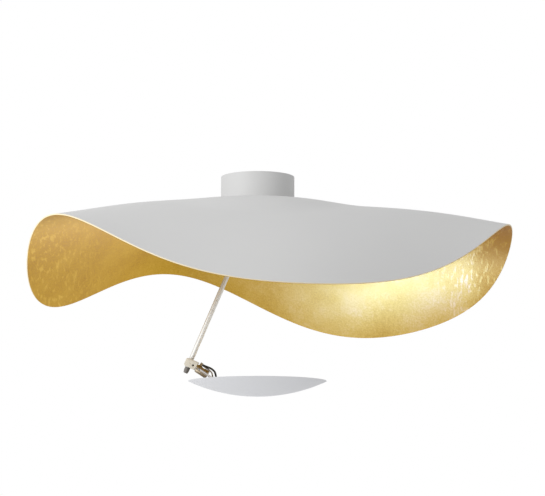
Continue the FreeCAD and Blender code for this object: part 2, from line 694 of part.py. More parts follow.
def build_driver():
    """LED driver with two feet, hung under the plate."""
    body = new_body("led_driver", z="-plate_thickness")
    sketch = new_sketch(body, "XY_Plane", y="driver_shift")
    draw_box(sketch, "driver_length", "driver_width")
    pad(body, sketch, "driver_height", Reversed=True)
    low = -number("driver_height")

    def is_lower_edge(edge):
        return abs(edge.BoundBox.ZMax - low) < 1e-4

    soften(body, "Chamfer", "Size", "driver_edge", is_lower_edge)
    feet = new_sketch(body, "XY_Plane", y="driver_shift")
    draw_box(feet, "driver_length + 2 * driver_foot", "driver_foot")
    for side in ("1", "-1"):
        draw_circle(feet, "small_screw_radius + hole_gap", f"{side} * {DRIVER_SCREW_X}")
    pad(body, feet, "driver_foot_thickness", Reversed=True)
    return body


def build_driver_screws():
    """Two pan-head screws through the driver's feet."""
    body = new_body("driver_screws", z="-plate_thickness - driver_foot_thickness", group=True)
    shanks = new_sketch(body, "XY_Plane", y="driver_shift")
    heads = new_sketch(body, "XY_Plane", y="driver_shift")
    for side in ("1", "-1"):
        draw_circle(shanks, "small_screw_radius - thread_gap", f"{side} * {DRIVER_SCREW_X}")
        draw_circle(heads, "small_screw_head", f"{side} * {DRIVER_SCREW_X}")
    pad(body, shanks, "driver_screw_length")
    pad(body, heads, "small_head_height", Reversed=True)
    return body


def build_terminals():
    """Terminal block with its wire holes and three screw wells, and its clamping screws."""
    block = new_body("terminal_block", z="-plate_thickness")
    sketch = new_sketch(block, "XY_Plane", x="-terminal_shift", y="-terminal_forward")
    draw_box(sketch, "terminal_length", "terminal_width")
    pad(block, sketch, "terminal_height", Reversed=True)
    wells = new_sketch(block, "XY_Plane", x="-terminal_shift", y="-terminal_forward", z="-terminal_height")
    wires = new_sketch(block, "XZ_Plane", x="-terminal_shift", y="-terminal_height / 2")
    screws = new_body("terminal_screws", z="-plate_thickness", group=True)
    slugs = new_sketch(screws, "XY_Plane", x="-terminal_shift", y="-terminal_forward", z="-terminal_height")
    for pole in range(TERMINALS):
        place = f"{pole - (TERMINALS - 1) / 2} * terminal_pitch"
        draw_circle(wells, "terminal_screw", place)
        draw_circle(wires, "terminal_screw - hole_gap", place)
        draw_circle(slugs, "terminal_screw - thread_gap", place)
    cut(block, "Pocket", wells, Length="terminal_screw_depth", Reversed=True)
    drill(block, wires)
    pad(screws, slugs, "terminal_screw_depth - hole_gap")
    return block, screws


# fixing of reflector and arm to the cup

def build_centre_fixing():
    """Gasket, flanged bush, washer and ring nut that clamp the reflector to the cup."""
    gasket = turned_ring("cup_gasket", BUSH_HOLE, "gasket_radius", "-canopy_height", f"-{CUP_FLOOR}")
    bush = turned("centre_bush", [
        (BUSH_BORE, f"-{FLANGE_UNDERSIDE}"),
        ("bush_flange_radius", f"-{FLANGE_UNDERSIDE}"),
        ("bush_flange_radius", f"-{SHEET_UNDERSIDE}"),
        ("bush_radius", f"-{SHEET_UNDERSIDE}"),
        ("bush_radius", f"-{BUSH_TOP}"),
        (BUSH_BORE, f"-{BUSH_TOP}"),
    ])
    washer_low = f"canopy_wall - {CUP_FLOOR}"
    nut_low = f"({washer_low} + nut_washer_thickness)"
    washer = turned_ring("nut_washer", BUSH_HOLE, "nut_washer_radius", washer_low, nut_low)
    nut = turned_ring("ring_nut", "bush_radius + thread_gap", "ring_nut_radius",
                      nut_low, f"{nut_low} + ring_nut_height")
    return gasket, bush, washer, nut


def build_swivel():
    """Rod socket that turns in the bush, with its washers and nut."""
    socket = turned("rod_socket", [
        ("spigot_bore", f"-{SOCKET_TOP} - socket_flange"),
        ("socket_radius", f"-{SOCKET_TOP} - socket_flange"),
        ("socket_radius", f"-{SOCKET_TOP}"),
        ("spigot_radius", f"-{SOCKET_TOP}"),
        ("spigot_radius", f"-{SPIGOT_TOP}"),
        ("spigot_bore", f"-{SPIGOT_TOP}"),
    ])
    boss = on_rod(socket, "boss_start")
    draw_circle(boss, "boss_radius")
    pad(socket, boss, "boss_end - boss_start", Reversed=True)
    seat = on_rod(socket, "rod_top")
    draw_circle(seat, SLEEVE_BORE)
    cut(socket, "Pocket", seat, Length="boss_end - rod_top + hole_gap")
    way = on_rod(socket, "0")
    draw_circle(way, "lead_bore")
    cut(socket, "Pocket", way, Length="rod_top + hole_gap")
    thread = new_sketch(socket, "XZ_Plane", x=rod_x(ROD_SCREW), y=rod_z(ROD_SCREW))
    draw_outline(thread, [
        ("0", "0"),
        ("(boss_radius + hole_gap) * cos(rod_lean)", "-(boss_radius + hole_gap) * sin(rod_lean)"),
        ("(boss_radius + hole_gap) * cos(rod_lean) + rod_screw_radius * sin(rod_lean)",
         "-(boss_radius + hole_gap) * sin(rod_lean) + rod_screw_radius * cos(rod_lean)"),
        ("rod_screw_radius * sin(rod_lean)", "rod_screw_radius * cos(rod_lean)"),
    ])
    axis = thread.addGeometry(Part.LineSegment(Vector(), Vector(1, -0.4, 0)), True)
    thread.addConstraint(Sketcher.Constraint("Coincident", axis, 1, -1, 1))
    pin_point(thread, axis, 2, "cos(rod_lean)", "-sin(rod_lean)")
    cut(socket, "Groove", thread, ReferenceAxis=(thread, ["Axis0"]), Angle="360")
    swivel = turned_ring("swivel_washer", "spigot_radius + hole_gap", "socket_radius",
                         f"-{SOCKET_TOP}", f"-{SWIVEL_TOP}")
    wave = turned_ring("wave_washer", "spigot_radius + hole_gap", "wave_washer_radius",
                       f"-{WAVE_LOW}", f"-{WAVE_TOP}")
    nut = hex_nut("spigot_nut", "spigot_nut_flats", "spigot_radius + thread_gap",
                  f"-{WAVE_TOP}", "spigot_nut_height")
    return socket, swivel, wave, nut


def rod_x(station):
    """Where the rod's line is, sideways, at a distance along it."""
    return f"(-({station}) * sin(rod_lean))"


def rod_z(station):
    """Where the rod's line is, in height, at a distance along it."""
    return f"(-{ROD_ORIGIN} - ({station}) * cos(rod_lean))"


def on_rod(body, station):
    """A sketch square to the rod at a distance along it."""
    return new_sketch(body, "XY_Plane", x=rod_x(station), z=rod_z(station), turn="rod_lean")


def along_rod(label, station, **place):
    """A body whose vertical axis runs up the rod, with its origin at a distance along it."""
    return new_body(label, x=rod_x(station), z=rod_z(station), turn="rod_lean", **place)


def build_rod():
    """Slotted tube, its grub screw, its end cap and the lead inside it."""
    rod = along_rod("rod", "rod_top")
    sketch = new_sketch(rod, "XY_Plane")
    draw_circle(sketch, "rod_radius")
    draw_circle(sketch, "rod_radius - rod_wall")
    pad(rod, sketch, "rod_end - rod_top", Reversed=True)
    slot = new_sketch(rod, "XZ_Plane")
    foot = "(rod_top - rod_end + rod_slot_margin)"
    draw_outline(slot, [
        ("-rod_slot_width / 2", foot),
        ("rod_slot_width / 2", foot),
        ("rod_slot_width / 2", f"{foot} + rod_slot_length"),
        ("-rod_slot_width / 2", f"{foot} + rod_slot_length"),
    ])
    cut(rod, "Pocket", slot, Length="2 * rod_radius")

    screw = new_body("rod_screw", x=rod_x(ROD_SCREW), z=rod_z(ROD_SCREW), turn="rod_lean")
    shank = new_sketch(screw, "YZ_Plane", z="rod_radius + screw_gap")
    draw_circle(shank, "rod_screw_radius - thread_gap")
    pad(screw, shank, "boss_radius - rod_radius - screw_gap - screw_sink")
    key = new_sketch(screw, "YZ_Plane", z="boss_radius - screw_sink - screw_socket_depth")
    draw_hexagon(key, "2 * screw_socket")
    cut(screw, "Pocket", key, Length="screw_socket_depth + screw_sink", Reversed=True)

    cap = along_rod("rod_end_cap", "rod_end")
    profile = new_sketch(cap, "XZ_Plane")
    draw_outline(profile, [
        ("0", "-cap_length"),
        ("cap_radius - cap_taper", "-cap_length"),
        ("cap_radius", "-cap_length / 2"),
        ("cap_radius", "0"),
        ("rod_radius - rod_wall - thread_gap", "0"),
        ("rod_radius - rod_wall - thread_gap", "cap_plug"),
        ("0", "cap_plug"),
    ])
    revolve(cap, profile)

    lead = doc.addObject("Part::Feature", "rod_lead")
    lead.Label = "rod_lead"
    route = [
        Vector(0, 0, number("-plate_thickness - driver_height - lead_gap")),
        Vector(0, 0, -number(ROD_ORIGIN)),
        Vector(number(rod_x(LEAD_END)), 0, number(rod_z(LEAD_END))),
    ]
    lead.Shape = lead_tube(route, number("lead_radius"), lead.Label)
    return rod, screw, cap, lead


def lead_tube(route, radius, label):
    """A round lead along straight runs joined by tangent arcs."""
    edges = []
    here = route[0]
    for before, corner, after in zip(route, route[1:], route[2:]):
        arriving = corner - before
        leaving = after - corner
        half_turn = arriving.getAngle(leaving) / 2
        back = BEND_SHARE * min(arriving.Length, leaving.Length)
        bend = back / math.tan(half_turn)
        start = corner - arriving.normalize() * back
        stop = corner + leaving.normalize() * back
        inward = (start + stop) * 0.5 - corner
        middle = corner + inward.normalize() * (bend / math.cos(half_turn) - bend)
        edges.append(Part.LineSegment(here, start).toShape())
        edges.append(Part.Arc(start, middle, stop).toShape())
        here = stop
        print(f"{label}: bend radius {bend:.1f} mm")
    edges.append(Part.LineSegment(here, route[-1]).toShape())
    path = Part.Wire(edges)
    ring = Part.Wire([Part.makeCircle(radius, route[0], route[1] - route[0])])
    tube = path.makePipeShell([ring], True, False)
    expected = math.pi * radius ** 2 * path.Length
    if abs(tube.Volume / expected - 1) > 0.01:
        raise RuntimeError(f"{label}: volume {tube.Volume:.1f}, expected {expected:.1f}")
    return tube


# clamp on the rod

def on_arm(label, **place):
    """A body in the fork's frame: origin at the clamp's middle, x along the fork's line."""
    return new_body(label, x=CLAMP_X, z=CLAMP_Z, turn=ARM, **place)


def grub_screw(label, radius, point_radius, point_from, shoulder_from, face, x="0", back=False):
    """A grub screw along the front-to-back axis, with a hexagon socket in its outer end."""
    body = on_arm(label)
    way = "-1" if back else "1"
    for size, start in ((radius, shoulder_from), (point_radius, point_from)):
        layer = new_sketch(body, "XZ_Plane", x=x, z=f"{way} * ({start})")
        draw_circle(layer, size)
        stop = f"{face} - screw_sink" if size == radius else shoulder_from
        pad(body, layer, f"({stop}) - ({start})", Reversed=back)
    key = new_sketch(body, "XZ_Plane", x=x, z=f"{way} * ({face} - screw_sink - screw_socket_depth)")
    draw_hexagon(key, "2 * screw_socket")
    cut(body, "Pocket", key, Length="screw_socket_depth + screw_sink", Reversed=not back)
    return body


def build_clamp():
    """Nylon sleeve, clamp block and the two grub screws."""
    sleeve = along_rod("rod_sleeve", "clamp_station")
    ring = new_sketch(sleeve, "XY_Plane")
    draw_circle(ring, SLEEVE_RADIUS)
    draw_circle(ring, SLEEVE_BORE)
    pad(sleeve, ring, "clamp_height", SideType="Symmetric")
    split = new_sketch(sleeve, "YZ_Plane")
    draw_box(split, "sleeve_split", "clamp_height + hole_gap")
    cut(sleeve, "Pocket", split, Length=f"{SLEEVE_RADIUS} + hole_gap")

    block = on_arm("clamp_block")
    outline = new_sketch(block, "XZ_Plane")
    half = "clamp_height / 2"
    left_x = "(-clamp_back * cos(fork_drop))"
    left_z = "(-clamp_back * sin(fork_drop))"
    draw_outline(outline, [
        (f"{left_x} + {half} * sin(fork_drop)", f"{left_z} - {half} * cos(fork_drop)"),
        ("clamp_face", f"(-{half} + clamp_face * sin(fork_drop)) / cos(fork_drop)"),
        ("clamp_face", f"({half} + clamp_face * sin(fork_drop)) / cos(fork_drop)"),
        (f"{left_x} - {half} * sin(fork_drop)", f"{left_z} + {half} * cos(fork_drop)"),
    ])
    pad(block, outline, "clamp_depth", SideType="Symmetric")
    limit = number("-clamp_back") * 0.5

    def is_left_edge(edge):
        box = edge.BoundBox
        return box.XMax < limit and box.YLength > 1

    soften(block, "Fillet", "Radius", "clamp_round", is_left_edge)
    bore = new_sketch(block, "XY_Plane", turn="-fork_drop")
    draw_circle(bore, CLAMP_BORE)
    drill(block, bore)
    stud = new_sketch(block, "YZ_Plane", z="clamp_face")
    draw_circle(stud, "stud_radius + running_fit")
    cut(block, "Pocket", stud, Length=f"clamp_face - {FORK_START} + stud_length + stud_end_gap")
    front = new_sketch(block, "XZ_Plane", x=GROOVE)
    draw_circle(front, "fork_screw_radius")
    cut(block, "Pocket", front, Length="clamp_depth", Reversed=True)
    rear = new_sketch(block, "XZ_Plane")
    draw_circle(rear, "clamp_screw_radius")
    cut(block, "Pocket", rear, Length="clamp_depth")

    face = "clamp_depth / 2"
    groove_floor = "(stud_radius - groove_depth + screw_gap)"
    front_screw = grub_screw("fork_screw", "fork_screw_radius - thread_gap", "fork_screw_point", groove_floor,
                             "stud_radius + screw_gap", face, x=GROOVE)
    rear_point = f"{SLEEVE_RADIUS} + screw_gap"
    rear_screw = grub_screw("clamp_screw", "clamp_screw_radius - thread_gap", "clamp_screw_radius / 2",
                            rear_point, f"{rear_point} + screw_sink", face, back=True)
    return sleeve, block, front_screw, rear_screw


def build_fork():
    """Washer, slotted fork with its stud and lead nozzle, and the cross screw."""
    washer = on_arm("fork_washer")
    ring = new_sketch(washer, "YZ_Plane", z="clamp_face + face_gap")
    draw_circle(ring, "fork_washer_radius")
    draw_circle(ring, "stud_radius + hole_gap")
    pad(washer, ring, "fork_washer_thickness")

    fork = on_arm("tilt_fork")
    profile = new_sketch(fork, "XZ_Plane")
    stud_end = f"({FORK_START} - stud_length)"
    draw_outline(profile, [
        (stud_end, "0"),
        (FORK_END, "0"),
        (FORK_END, "fork_radius - fork_edge"),
        (f"{FORK_END} - fork_edge", "fork_radius"),
        (f"{FORK_START} + fork_edge", "fork_radius"),
        (FORK_START, "fork_radius - fork_edge"),
        (FORK_START, "stud_radius"),
        (f"{GROOVE} + groove_width / 2", "stud_radius"),
        (f"{GROOVE} + groove_width / 2", "stud_radius - groove_depth"),
        (f"{GROOVE} - groove_width / 2", "stud_radius - groove_depth"),
        (f"{GROOVE} - groove_width / 2", "stud_radius"),
        (stud_end, "stud_radius"),
    ])
    revolve(fork, profile, "H_Axis")
    nozzle = new_sketch(fork, "YZ_Plane", z=f"{FORK_START} + nozzle_start")
    draw_box(nozzle, "nozzle_left + nozzle_right", "nozzle_top - nozzle_root",
             "(nozzle_right - nozzle_left) / 2", "(nozzle_top + nozzle_root) / 2")
    pad(fork, nozzle, "nozzle_length")
    bores = new_sketch(fork, "YZ_Plane", z=f"{FORK_START} + nozzle_start + nozzle_length")
    draw_circle(bores, "lead_radius + nozzle_bore_gap", "0", "black_height")
    draw_circle(bores, "grey_lead_radius + nozzle_bore_gap", "grey_side", "grey_height")
    cut(fork, "Pocket", bores, Length="nozzle_length - nozzle_start / 2")
    slot = new_sketch(fork, "XZ_Plane")
    draw_outline(slot, [
        (f"{FORK_START} + fork_root", "-fork_slot / 2"),
        (f"{FORK_END} + hole_gap", "-fork_slot / 2"),
        (f"{FORK_END} + hole_gap", "fork_slot / 2"),
        (f"{FORK_START} + fork_root", "fork_slot / 2"),
    ])
    drill(fork, slot)
    hole = new_sketch(fork, "XY_Plane", x="pivot_reach")
    draw_circle(hole, "pivot_radius")
    drill(fork, hole)
    recess = new_sketch(fork, "XY_Plane", x="pivot_reach", z="fork_slot / 2 + pivot_seat")
    draw_circle(recess, "pivot_head + counterbore_gap")
    cut(fork, "Pocket", recess, Length="fork_radius", Reversed=True)

    screw = on_arm("pivot_screw")
    head_seat = "(fork_slot / 2 + pivot_seat)"
    shank = new_sketch(screw, "XY_Plane", x="pivot_reach", z=head_seat)
    draw_circle(shank, "pivot_radius - thread_gap")
    pad(screw, shank, f"{head_seat} + fork_radius - pivot_sink", Reversed=True)
    head = new_sketch(screw, "XY_Plane", x="pivot_reach", z=head_seat)
    draw_circle(head, "pivot_head")
    pad(screw, head, "pivot_head_height")
    key = new_sketch(screw, "XY_Plane", x="pivot_reach", z=f"{head_seat} + pivot_head_height")
    draw_hexagon(key, "2 * screw_socket")
    cut(screw, "Pocket", key, Length="pivot_head_height - hole_gap")
    return washer, fork, screw


# disc

def on_disc(label, **place):
    """A body whose origin is the middle of the disc's rim."""
    return new_body(label, x=DISC_X, z=DISC_Z, **place)


def build_lug():
    """Bent lug: a round-ended tongue in the fork's slot and a foot on the disc, and its screws."""
    lug = on_arm("disc_lug")
    half = "lug_thickness / 2"
    foot_low = "(-disc_drop)"
    foot_high = "(lug_thickness - disc_drop)"

    def turned_place(x, z):
        return f"{x} * cos({ARM}) - {z} * sin({ARM})", f"{x} * sin({ARM}) + {z} * cos({ARM})"

    profile = new_sketch(lug, "XZ_Plane")
    draw_outline(profile, [
        ("pivot_reach", f"-{half}"),
        (f"(disc_drop - {half} * cos({ARM})) / sin({ARM})", f"-{half}"),
        turned_place(LUG_END, foot_low),
        turned_place(LUG_END, foot_high),
        (f"({half} * cos({ARM}) - {foot_high}) / sin({ARM})", half),
        ("pivot_reach", half),
    ])
    pad(lug, profile, "lug_width", SideType="Symmetric")
    nose = new_sketch(lug, "XY_Plane", x="pivot_reach")
    draw_circle(nose, "lug_width / 2")
    pad(lug, nose, "lug_thickness", SideType="Symmetric")
    hole = new_sketch(lug, "XY_Plane", x="pivot_reach")
    draw_circle(hole, "pivot_radius + running_fit")
    cut(lug, "Pocket", hole, Length="2 * lug_thickness", SideType="Symmetric")
    feet = new_sketch(lug, "XY_Plane", x=f"disc_drop * sin({ARM})", z=f"-disc_drop * cos({ARM})",
                      turn=f"-{ARM}")
    for place in LUG_SCREWS:
        draw_circle(feet, "lug_screw_radius + hole_gap", place)
    cut(lug, "Pocket", feet, Length="2 * lug_thickness", SideType="Symmetric")

    screws = on_disc("lug_screws", group=True)
    heads = new_sketch(screws, "XY_Plane", z="lug_thickness")
    shanks = new_sketch(screws, "XY_Plane", z="lug_thickness")
    for place in LUG_SCREWS:
        draw_circle(heads, "lug_screw_head", f"{place} - disc_reach")
        draw_circle(shanks, "lug_screw_radius - thread_gap", f"{place} - disc_reach")
    pad(screws, shanks, "lug_thickness + ring_thickness", Reversed=True)
    pad(screws, heads, "lug_head_height")
    return lug, screws


def build_bowl():
    """Shallow spherical bowl: a spun cap of even wall, cut level at its rim."""
    body = on_disc("disc_bowl")
    outer = new_sketch(body, "XZ_Plane")
    draw_outline(outer, [("0", "-disc_depth", "0"), ("disc_radius", "0"), ("0", "0")])
    revolve(body, outer)
    inner = new_sketch(body, "XZ_Plane")
    rim_inside = f"sqrt({BOWL_INSIDE}^2 - {BOWL_CENTRE}^2)"
    draw_outline(inner, [("0", "bowl_wall - disc_depth", "0"), (rim_inside, "0"), ("0", "0")])
    cut(body, "Groove", inner, ReferenceAxis=(inner, ["V_Axis"]), Angle="360")
    return body


def build_top_ring():
    """Cover ring that rests in the bowl, with holes for screws and leads."""
    ring = on_disc("top_ring")
    sketch = new_sketch(ring, "XY_Plane")
    draw_circle(sketch, RING_EDGE)
    draw_circle(sketch, RING_WINDOW)
    for place in LUG_SCREWS:
        draw_circle(sketch, "lug_screw_radius", f"{place} - disc_reach")
    draw_circle(sketch, f"lead_radius + {ENTRY_BODY}", "black_entry_x - disc_reach", "black_entry_y")
    draw_circle(sketch, f"grey_lead_radius + {ENTRY_BODY}", "grey_entry_x - disc_reach", "grey_entry_y")
    pad(ring, sketch, "ring_thickness", Reversed=True)
    hole = new_sketch(ring, "XY_Plane")
    draw_circle(hole, "small_screw_radius + hole_gap", SPACER_CIRCLE)
    first = cut(ring, "Pocket", hole, Length="ring_thickness")
    repeat_round(ring, first, SPACERS)
    return ring


def build_light_engine():
    """Diffuser, LED board with its LEDs, heat spreader, spacers, screws, stud and nut."""
    diffuser = turned_ring("diffuser", "0", DIFFUSER, "-ring_thickness - diffuser_thickness",
                           "-ring_thickness", x=DISC_X, z=DISC_Z)
    board = turned_ring("led_board", "board_hole", "board_radius", f"-{SPREADER_TOP}", f"-{BOARD_TOP}",
                        x=DISC_X, z=DISC_Z)
    chips = on_disc("led_chips", group=True)
    for circle, count in (("chip_outer_circle", OUTER_CHIPS), ("chip_inner_circle", INNER_CHIPS)):
        sketch = new_sketch(chips, "XY_Plane", z=f"-{BOARD_TOP}")
        draw_box(sketch, "chip_size", "chip_size", circle)
        repeat_round(chips, pad(chips, sketch, "chip_height"), count)

    bowl_at_pillar = f"(sqrt({BOWL_INSIDE}^2 - pillar_radius^2) - {BOWL_CENTRE} - seat_gap)"
    spreader = turned("heat_spreader", [
        ("stud_thread + hole_gap", f"-{bowl_at_pillar}"),
        ("pillar_radius", f"-{bowl_at_pillar}"),
        ("pillar_radius", f"-{SPREADER_UNDERSIDE}"),
        ("spreader_radius", f"-{SPREADER_UNDERSIDE}"),
        ("spreader_radius", f"-{SPREADER_TOP}"),
        ("stud_thread + hole_gap", f"-{SPREADER_TOP}"),
    ], x=DISC_X, z=DISC_Z)
    hole = new_sketch(spreader, "XY_Plane", z=f"-{SPREADER_TOP}")
    draw_circle(hole, "small_screw_radius", SPACER_CIRCLE)
    repeat_round(spreader, cut(spreader, "Pocket", hole, Length="spreader_thickness"), SPACERS)

    spacers = on_disc("spacers", group=True)
    tube = new_sketch(spacers, "XY_Plane", z="-ring_thickness")
    draw_circle(tube, "spacer_radius", SPACER_CIRCLE)
    draw_circle(tube, "small_screw_radius + hole_gap", SPACER_CIRCLE)
    repeat_round(spacers, pad(spacers, tube, "spacer_length", Reversed=True), SPACERS)

    screws = on_disc("ring_screws", group=True)
    profile = new_sketch(screws, "XZ_Plane", x=SPACER_CIRCLE)
    shank = "small_screw_radius - thread_gap"
    draw_outline(profile, [
        ("0", f"-{SPREADER_UNDERSIDE}"),
        (shank, f"-{SPREADER_UNDERSIDE}"),
        (shank, "0"),
        ("small_screw_head", "0"),
        ("small_screw_head", "small_head_height"),
        ("0", "small_head_height"),
    ])
    repeat_round(screws, revolve(screws, profile), SPACERS)

    bowl_at_stud = f"(sqrt({BOWL_INSIDE}^2 - stud_thread^2) - {BOWL_CENTRE} - seat_gap)"
    nut_top = f"({SPREADER_TOP} - centre_nut_height)"
    stud = turned_ring("centre_stud", "0", "stud_thread", f"-{bowl_at_stud}", f"centre_proud - {nut_top}",
                       x=DISC_X, z=DISC_Z)
    nut = hex_nut("centre_nut", "centre_nut_flats", "stud_thread + thread_gap", f"-{SPREADER_TOP}",
                  "centre_nut_height", x=DISC_X, z=DISC_Z)
    return diffuser, board, chips, spreader, spacers, screws, stud, nut


def build_disc_leads():
    """Grommets in the ring, and the two leads that loop over from the fork's nozzle."""
    grommets = on_disc("lead_grommets", group=True)
    leads = []
    for name, radius in (("black", "lead_radius"), ("grey", "grey_lead_radius")):
        place = (f"{name}_entry_x - disc_reach", f"{name}_entry_y")
        for size, start, length in (
            (f"{radius} + {ENTRY_BODY}", "-ring_thickness", "ring_thickness"),
            ("entry_flange", "0", "entry_lip"),
            ("entry_flange", "-ring_thickness - entry_lip", "entry_lip"),
        ):
            layer = new_sketch(grommets, "XY_Plane", z=start)
            draw_circle(layer, size, *place)
            draw_circle(layer, f"{radius} + thread_gap", *place)
            pad(grommets, layer, length)

        clamp = Vector(number(CLAMP_X), 0, number(CLAMP_Z))
        side = number("grey_side") if name == "grey" else 0
        start = Rotation(Vector(0, 1, 0), number(ARM)).multVec(
            Vector(number(f"{name}_start"), side, number(f"{name}_height")))
        crest = Vector(number(f"{name}_crest_x"), number(f"{name}_crest_y"), -number(f"{name}_crest_drop"))
        entry = Vector(number(f"{name}_entry_x"), number(f"{name}_entry_y"),
                       number("entry_rise - disc_drop"))
        inside = Vector(entry.x, entry.y, -number(f"disc_drop + {SPREADER_TOP}"))
        lead = doc.addObject("Part::Feature", f"{name}_lead")
        lead.Label = f"{name}_lead"
        route = [clamp + point for point in (start, crest, entry, inside)]
        lead.Shape = lead_tube(route, number(radius), lead.Label)
        leads.append(lead)
    return [grommets, *leads]


def build_all():
    """Every sub-part of the lamp, from the ceiling down."""
    parts = [build_ceiling_plate(), build_cable_grommet(), build_canopy_cup(), build_cup_screws()]
    parts += [build_driver(), build_driver_screws(), *build_terminals()]
    parts += build_reflector()
    parts += build_centre_fixing()
    parts += build_swivel()
    parts += build_rod()
    parts += build_clamp()
    parts += build_fork()
    parts += build_lug()
    parts += [build_bowl(), build_top_ring()]
    parts += build_light_engine()
    parts += build_disc_leads()
    return parts


def write_parts(parts):
    """Checks every object and sub-part, then writes one file for each sub-part."""
    doc.recompute()
    for item in doc.Objects:
        if {"Invalid", "Error"} & set(item.State):
            raise RuntimeError(f"{item.Label}: {item.State}")
    for item in parts:
        if item.Shape.isNull() or not item.Shape.isValid():
            raise RuntimeError(f"{item.Label}: bad shape")
    os.makedirs("parts", exist_ok=True)
    for item in parts:
        item.Shape.exportStep(f"parts/{item.Label}.step")
        print(f"{item.Label}: {len(item.Shape.Solids)} solids, {item.Shape.Volume:.1f} mm3")


write_parts(build_all())
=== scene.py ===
"""Wave ceiling light: the looks of a gold-leafed, bent reflector with a leaning rod and an LED disc.

Metres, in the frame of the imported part: the origin is the middle of the ceiling face, +Z is up, and
the viewer stands at -Y.
"""

import json
import logging
import math
from dataclasses import dataclass, field
from enum import Enum
from typing import Any, Sequence

import bmesh
import bpy
from mathutils import Matrix, Vector
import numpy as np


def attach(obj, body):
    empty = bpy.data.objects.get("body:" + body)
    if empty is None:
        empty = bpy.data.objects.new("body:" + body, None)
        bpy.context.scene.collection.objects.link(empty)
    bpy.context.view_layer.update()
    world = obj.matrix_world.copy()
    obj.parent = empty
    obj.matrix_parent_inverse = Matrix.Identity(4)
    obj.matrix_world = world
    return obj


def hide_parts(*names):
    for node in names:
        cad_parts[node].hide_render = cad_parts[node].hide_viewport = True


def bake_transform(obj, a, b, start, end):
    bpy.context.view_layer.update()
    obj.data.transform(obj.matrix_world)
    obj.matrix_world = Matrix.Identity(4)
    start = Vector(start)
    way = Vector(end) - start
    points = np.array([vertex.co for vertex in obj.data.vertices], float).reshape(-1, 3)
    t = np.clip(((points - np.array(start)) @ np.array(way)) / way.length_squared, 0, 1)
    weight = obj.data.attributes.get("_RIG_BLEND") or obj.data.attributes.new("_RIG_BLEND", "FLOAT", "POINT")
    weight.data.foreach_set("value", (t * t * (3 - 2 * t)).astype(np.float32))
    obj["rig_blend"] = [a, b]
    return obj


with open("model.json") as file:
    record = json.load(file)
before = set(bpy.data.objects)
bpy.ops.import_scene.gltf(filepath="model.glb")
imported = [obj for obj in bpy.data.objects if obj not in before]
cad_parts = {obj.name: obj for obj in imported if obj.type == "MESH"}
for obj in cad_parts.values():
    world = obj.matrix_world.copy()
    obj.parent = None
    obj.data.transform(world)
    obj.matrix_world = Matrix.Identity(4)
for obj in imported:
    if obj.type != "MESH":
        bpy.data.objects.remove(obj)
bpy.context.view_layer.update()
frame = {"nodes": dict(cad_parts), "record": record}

Tree, Node, Socket = bpy.types.NodeTree, bpy.types.Node, bpy.types.NodeSocket
Object, Mesh = bpy.types.Object, bpy.types.Mesh

MM = 0.001
LOG = logging.getLogger("wave_ceiling_light")

# sockets of a Mix node that mixes colours
MIX_SHARE, MIX_FIRST, MIX_SECOND, MIX_RESULT = 0, 6, 7, 2
# most of a noise's values lie between these
NOISE_LOW, NOISE_HIGH = 0.3, 0.7


def linear(colour: str) -> tuple[float, float, float, float]:
    """Turns an sRGB hex colour into a linear one.

    Args:
        colour: six hex digits after a hash sign.
    Returns:
        Linear red, green, blue and alpha.
    """
    parts = [int(colour[place:place + 2], 16) / 255 for place in (1, 3, 5)]
    red, green, blue = (v / 12.92 if v <= 0.04045 else ((v + 0.055) / 1.055) ** 2.4 for v in parts)
    return red, green, blue, 1.0


def add_node(tree: Tree, kind: str, inputs: dict[Any, Any] | None = None, **settings: Any) -> Node:
    """Adds one node to a tree.

    Args:
        tree: shader or geometry node tree.
        kind: the node's type name.
        inputs: values or other nodes' sockets, by the input's name or number.
        settings: the node's own properties.
    Returns:
        The new node.
    """
    node = tree.nodes.new(kind)
    for name, value in settings.items():
        setattr(node, name, value)
    for key, value in (inputs or {}).items():
        if isinstance(value, Socket):
            tree.links.new(value, node.inputs[key])
        else:
            node.inputs[key].default_value = value
    return node


# finishes

@dataclass(frozen=True)
class Finish:
    """A surface finish, whose material is made once and shared."""
    name: str

    def material(self) -> bpy.types.Material:
        """Builds the finish's material on first use.

        Returns:
            The material.
        """
        found = bpy.data.materials.get(self.name)
        if found:
            return found
        material = bpy.data.materials.new(self.name)
        material.use_nodes = True
        tree = material.node_tree
        tree.nodes.clear()
        shader = self.shade(tree, add_node(tree, "ShaderNodeTexCoord").outputs["Object"])
        add_node(tree, "ShaderNodeOutputMaterial", {"Surface": shader.outputs[0]})
        return material

    def shade(self, tree: Tree, place: Socket) -> Node:
        """Adds the finish's nodes and returns its shader."""
        raise NotImplementedError

    @staticmethod
    def clouded(tree: Tree, place: Socket, size: float, detail: float,
                tones: tuple[str, str]) -> tuple[Socket, Socket]:
        """Adds a colour that drifts between two tones.

        Args:
            tree: the material's tree.
            place: object coordinates.
            size: how wide a cloud is.
            detail: how many steps finer its edges get.
            tones: the two colours.
        Returns:
            The clouds' value, and the colour.
        """
        clouds = add_node(tree, "ShaderNodeTexNoise", {"Vector": place, "Scale": 1 / size,
                                                       "Detail": detail})
        tint = add_node(tree, "ShaderNodeMix", {
            MIX_SHARE: clouds.outputs[0], MIX_FIRST: linear(tones[0]), MIX_SECOND: linear(tones[1])},
            data_type="RGBA")
        return clouds.outputs[0], tint.outputs[MIX_RESULT]


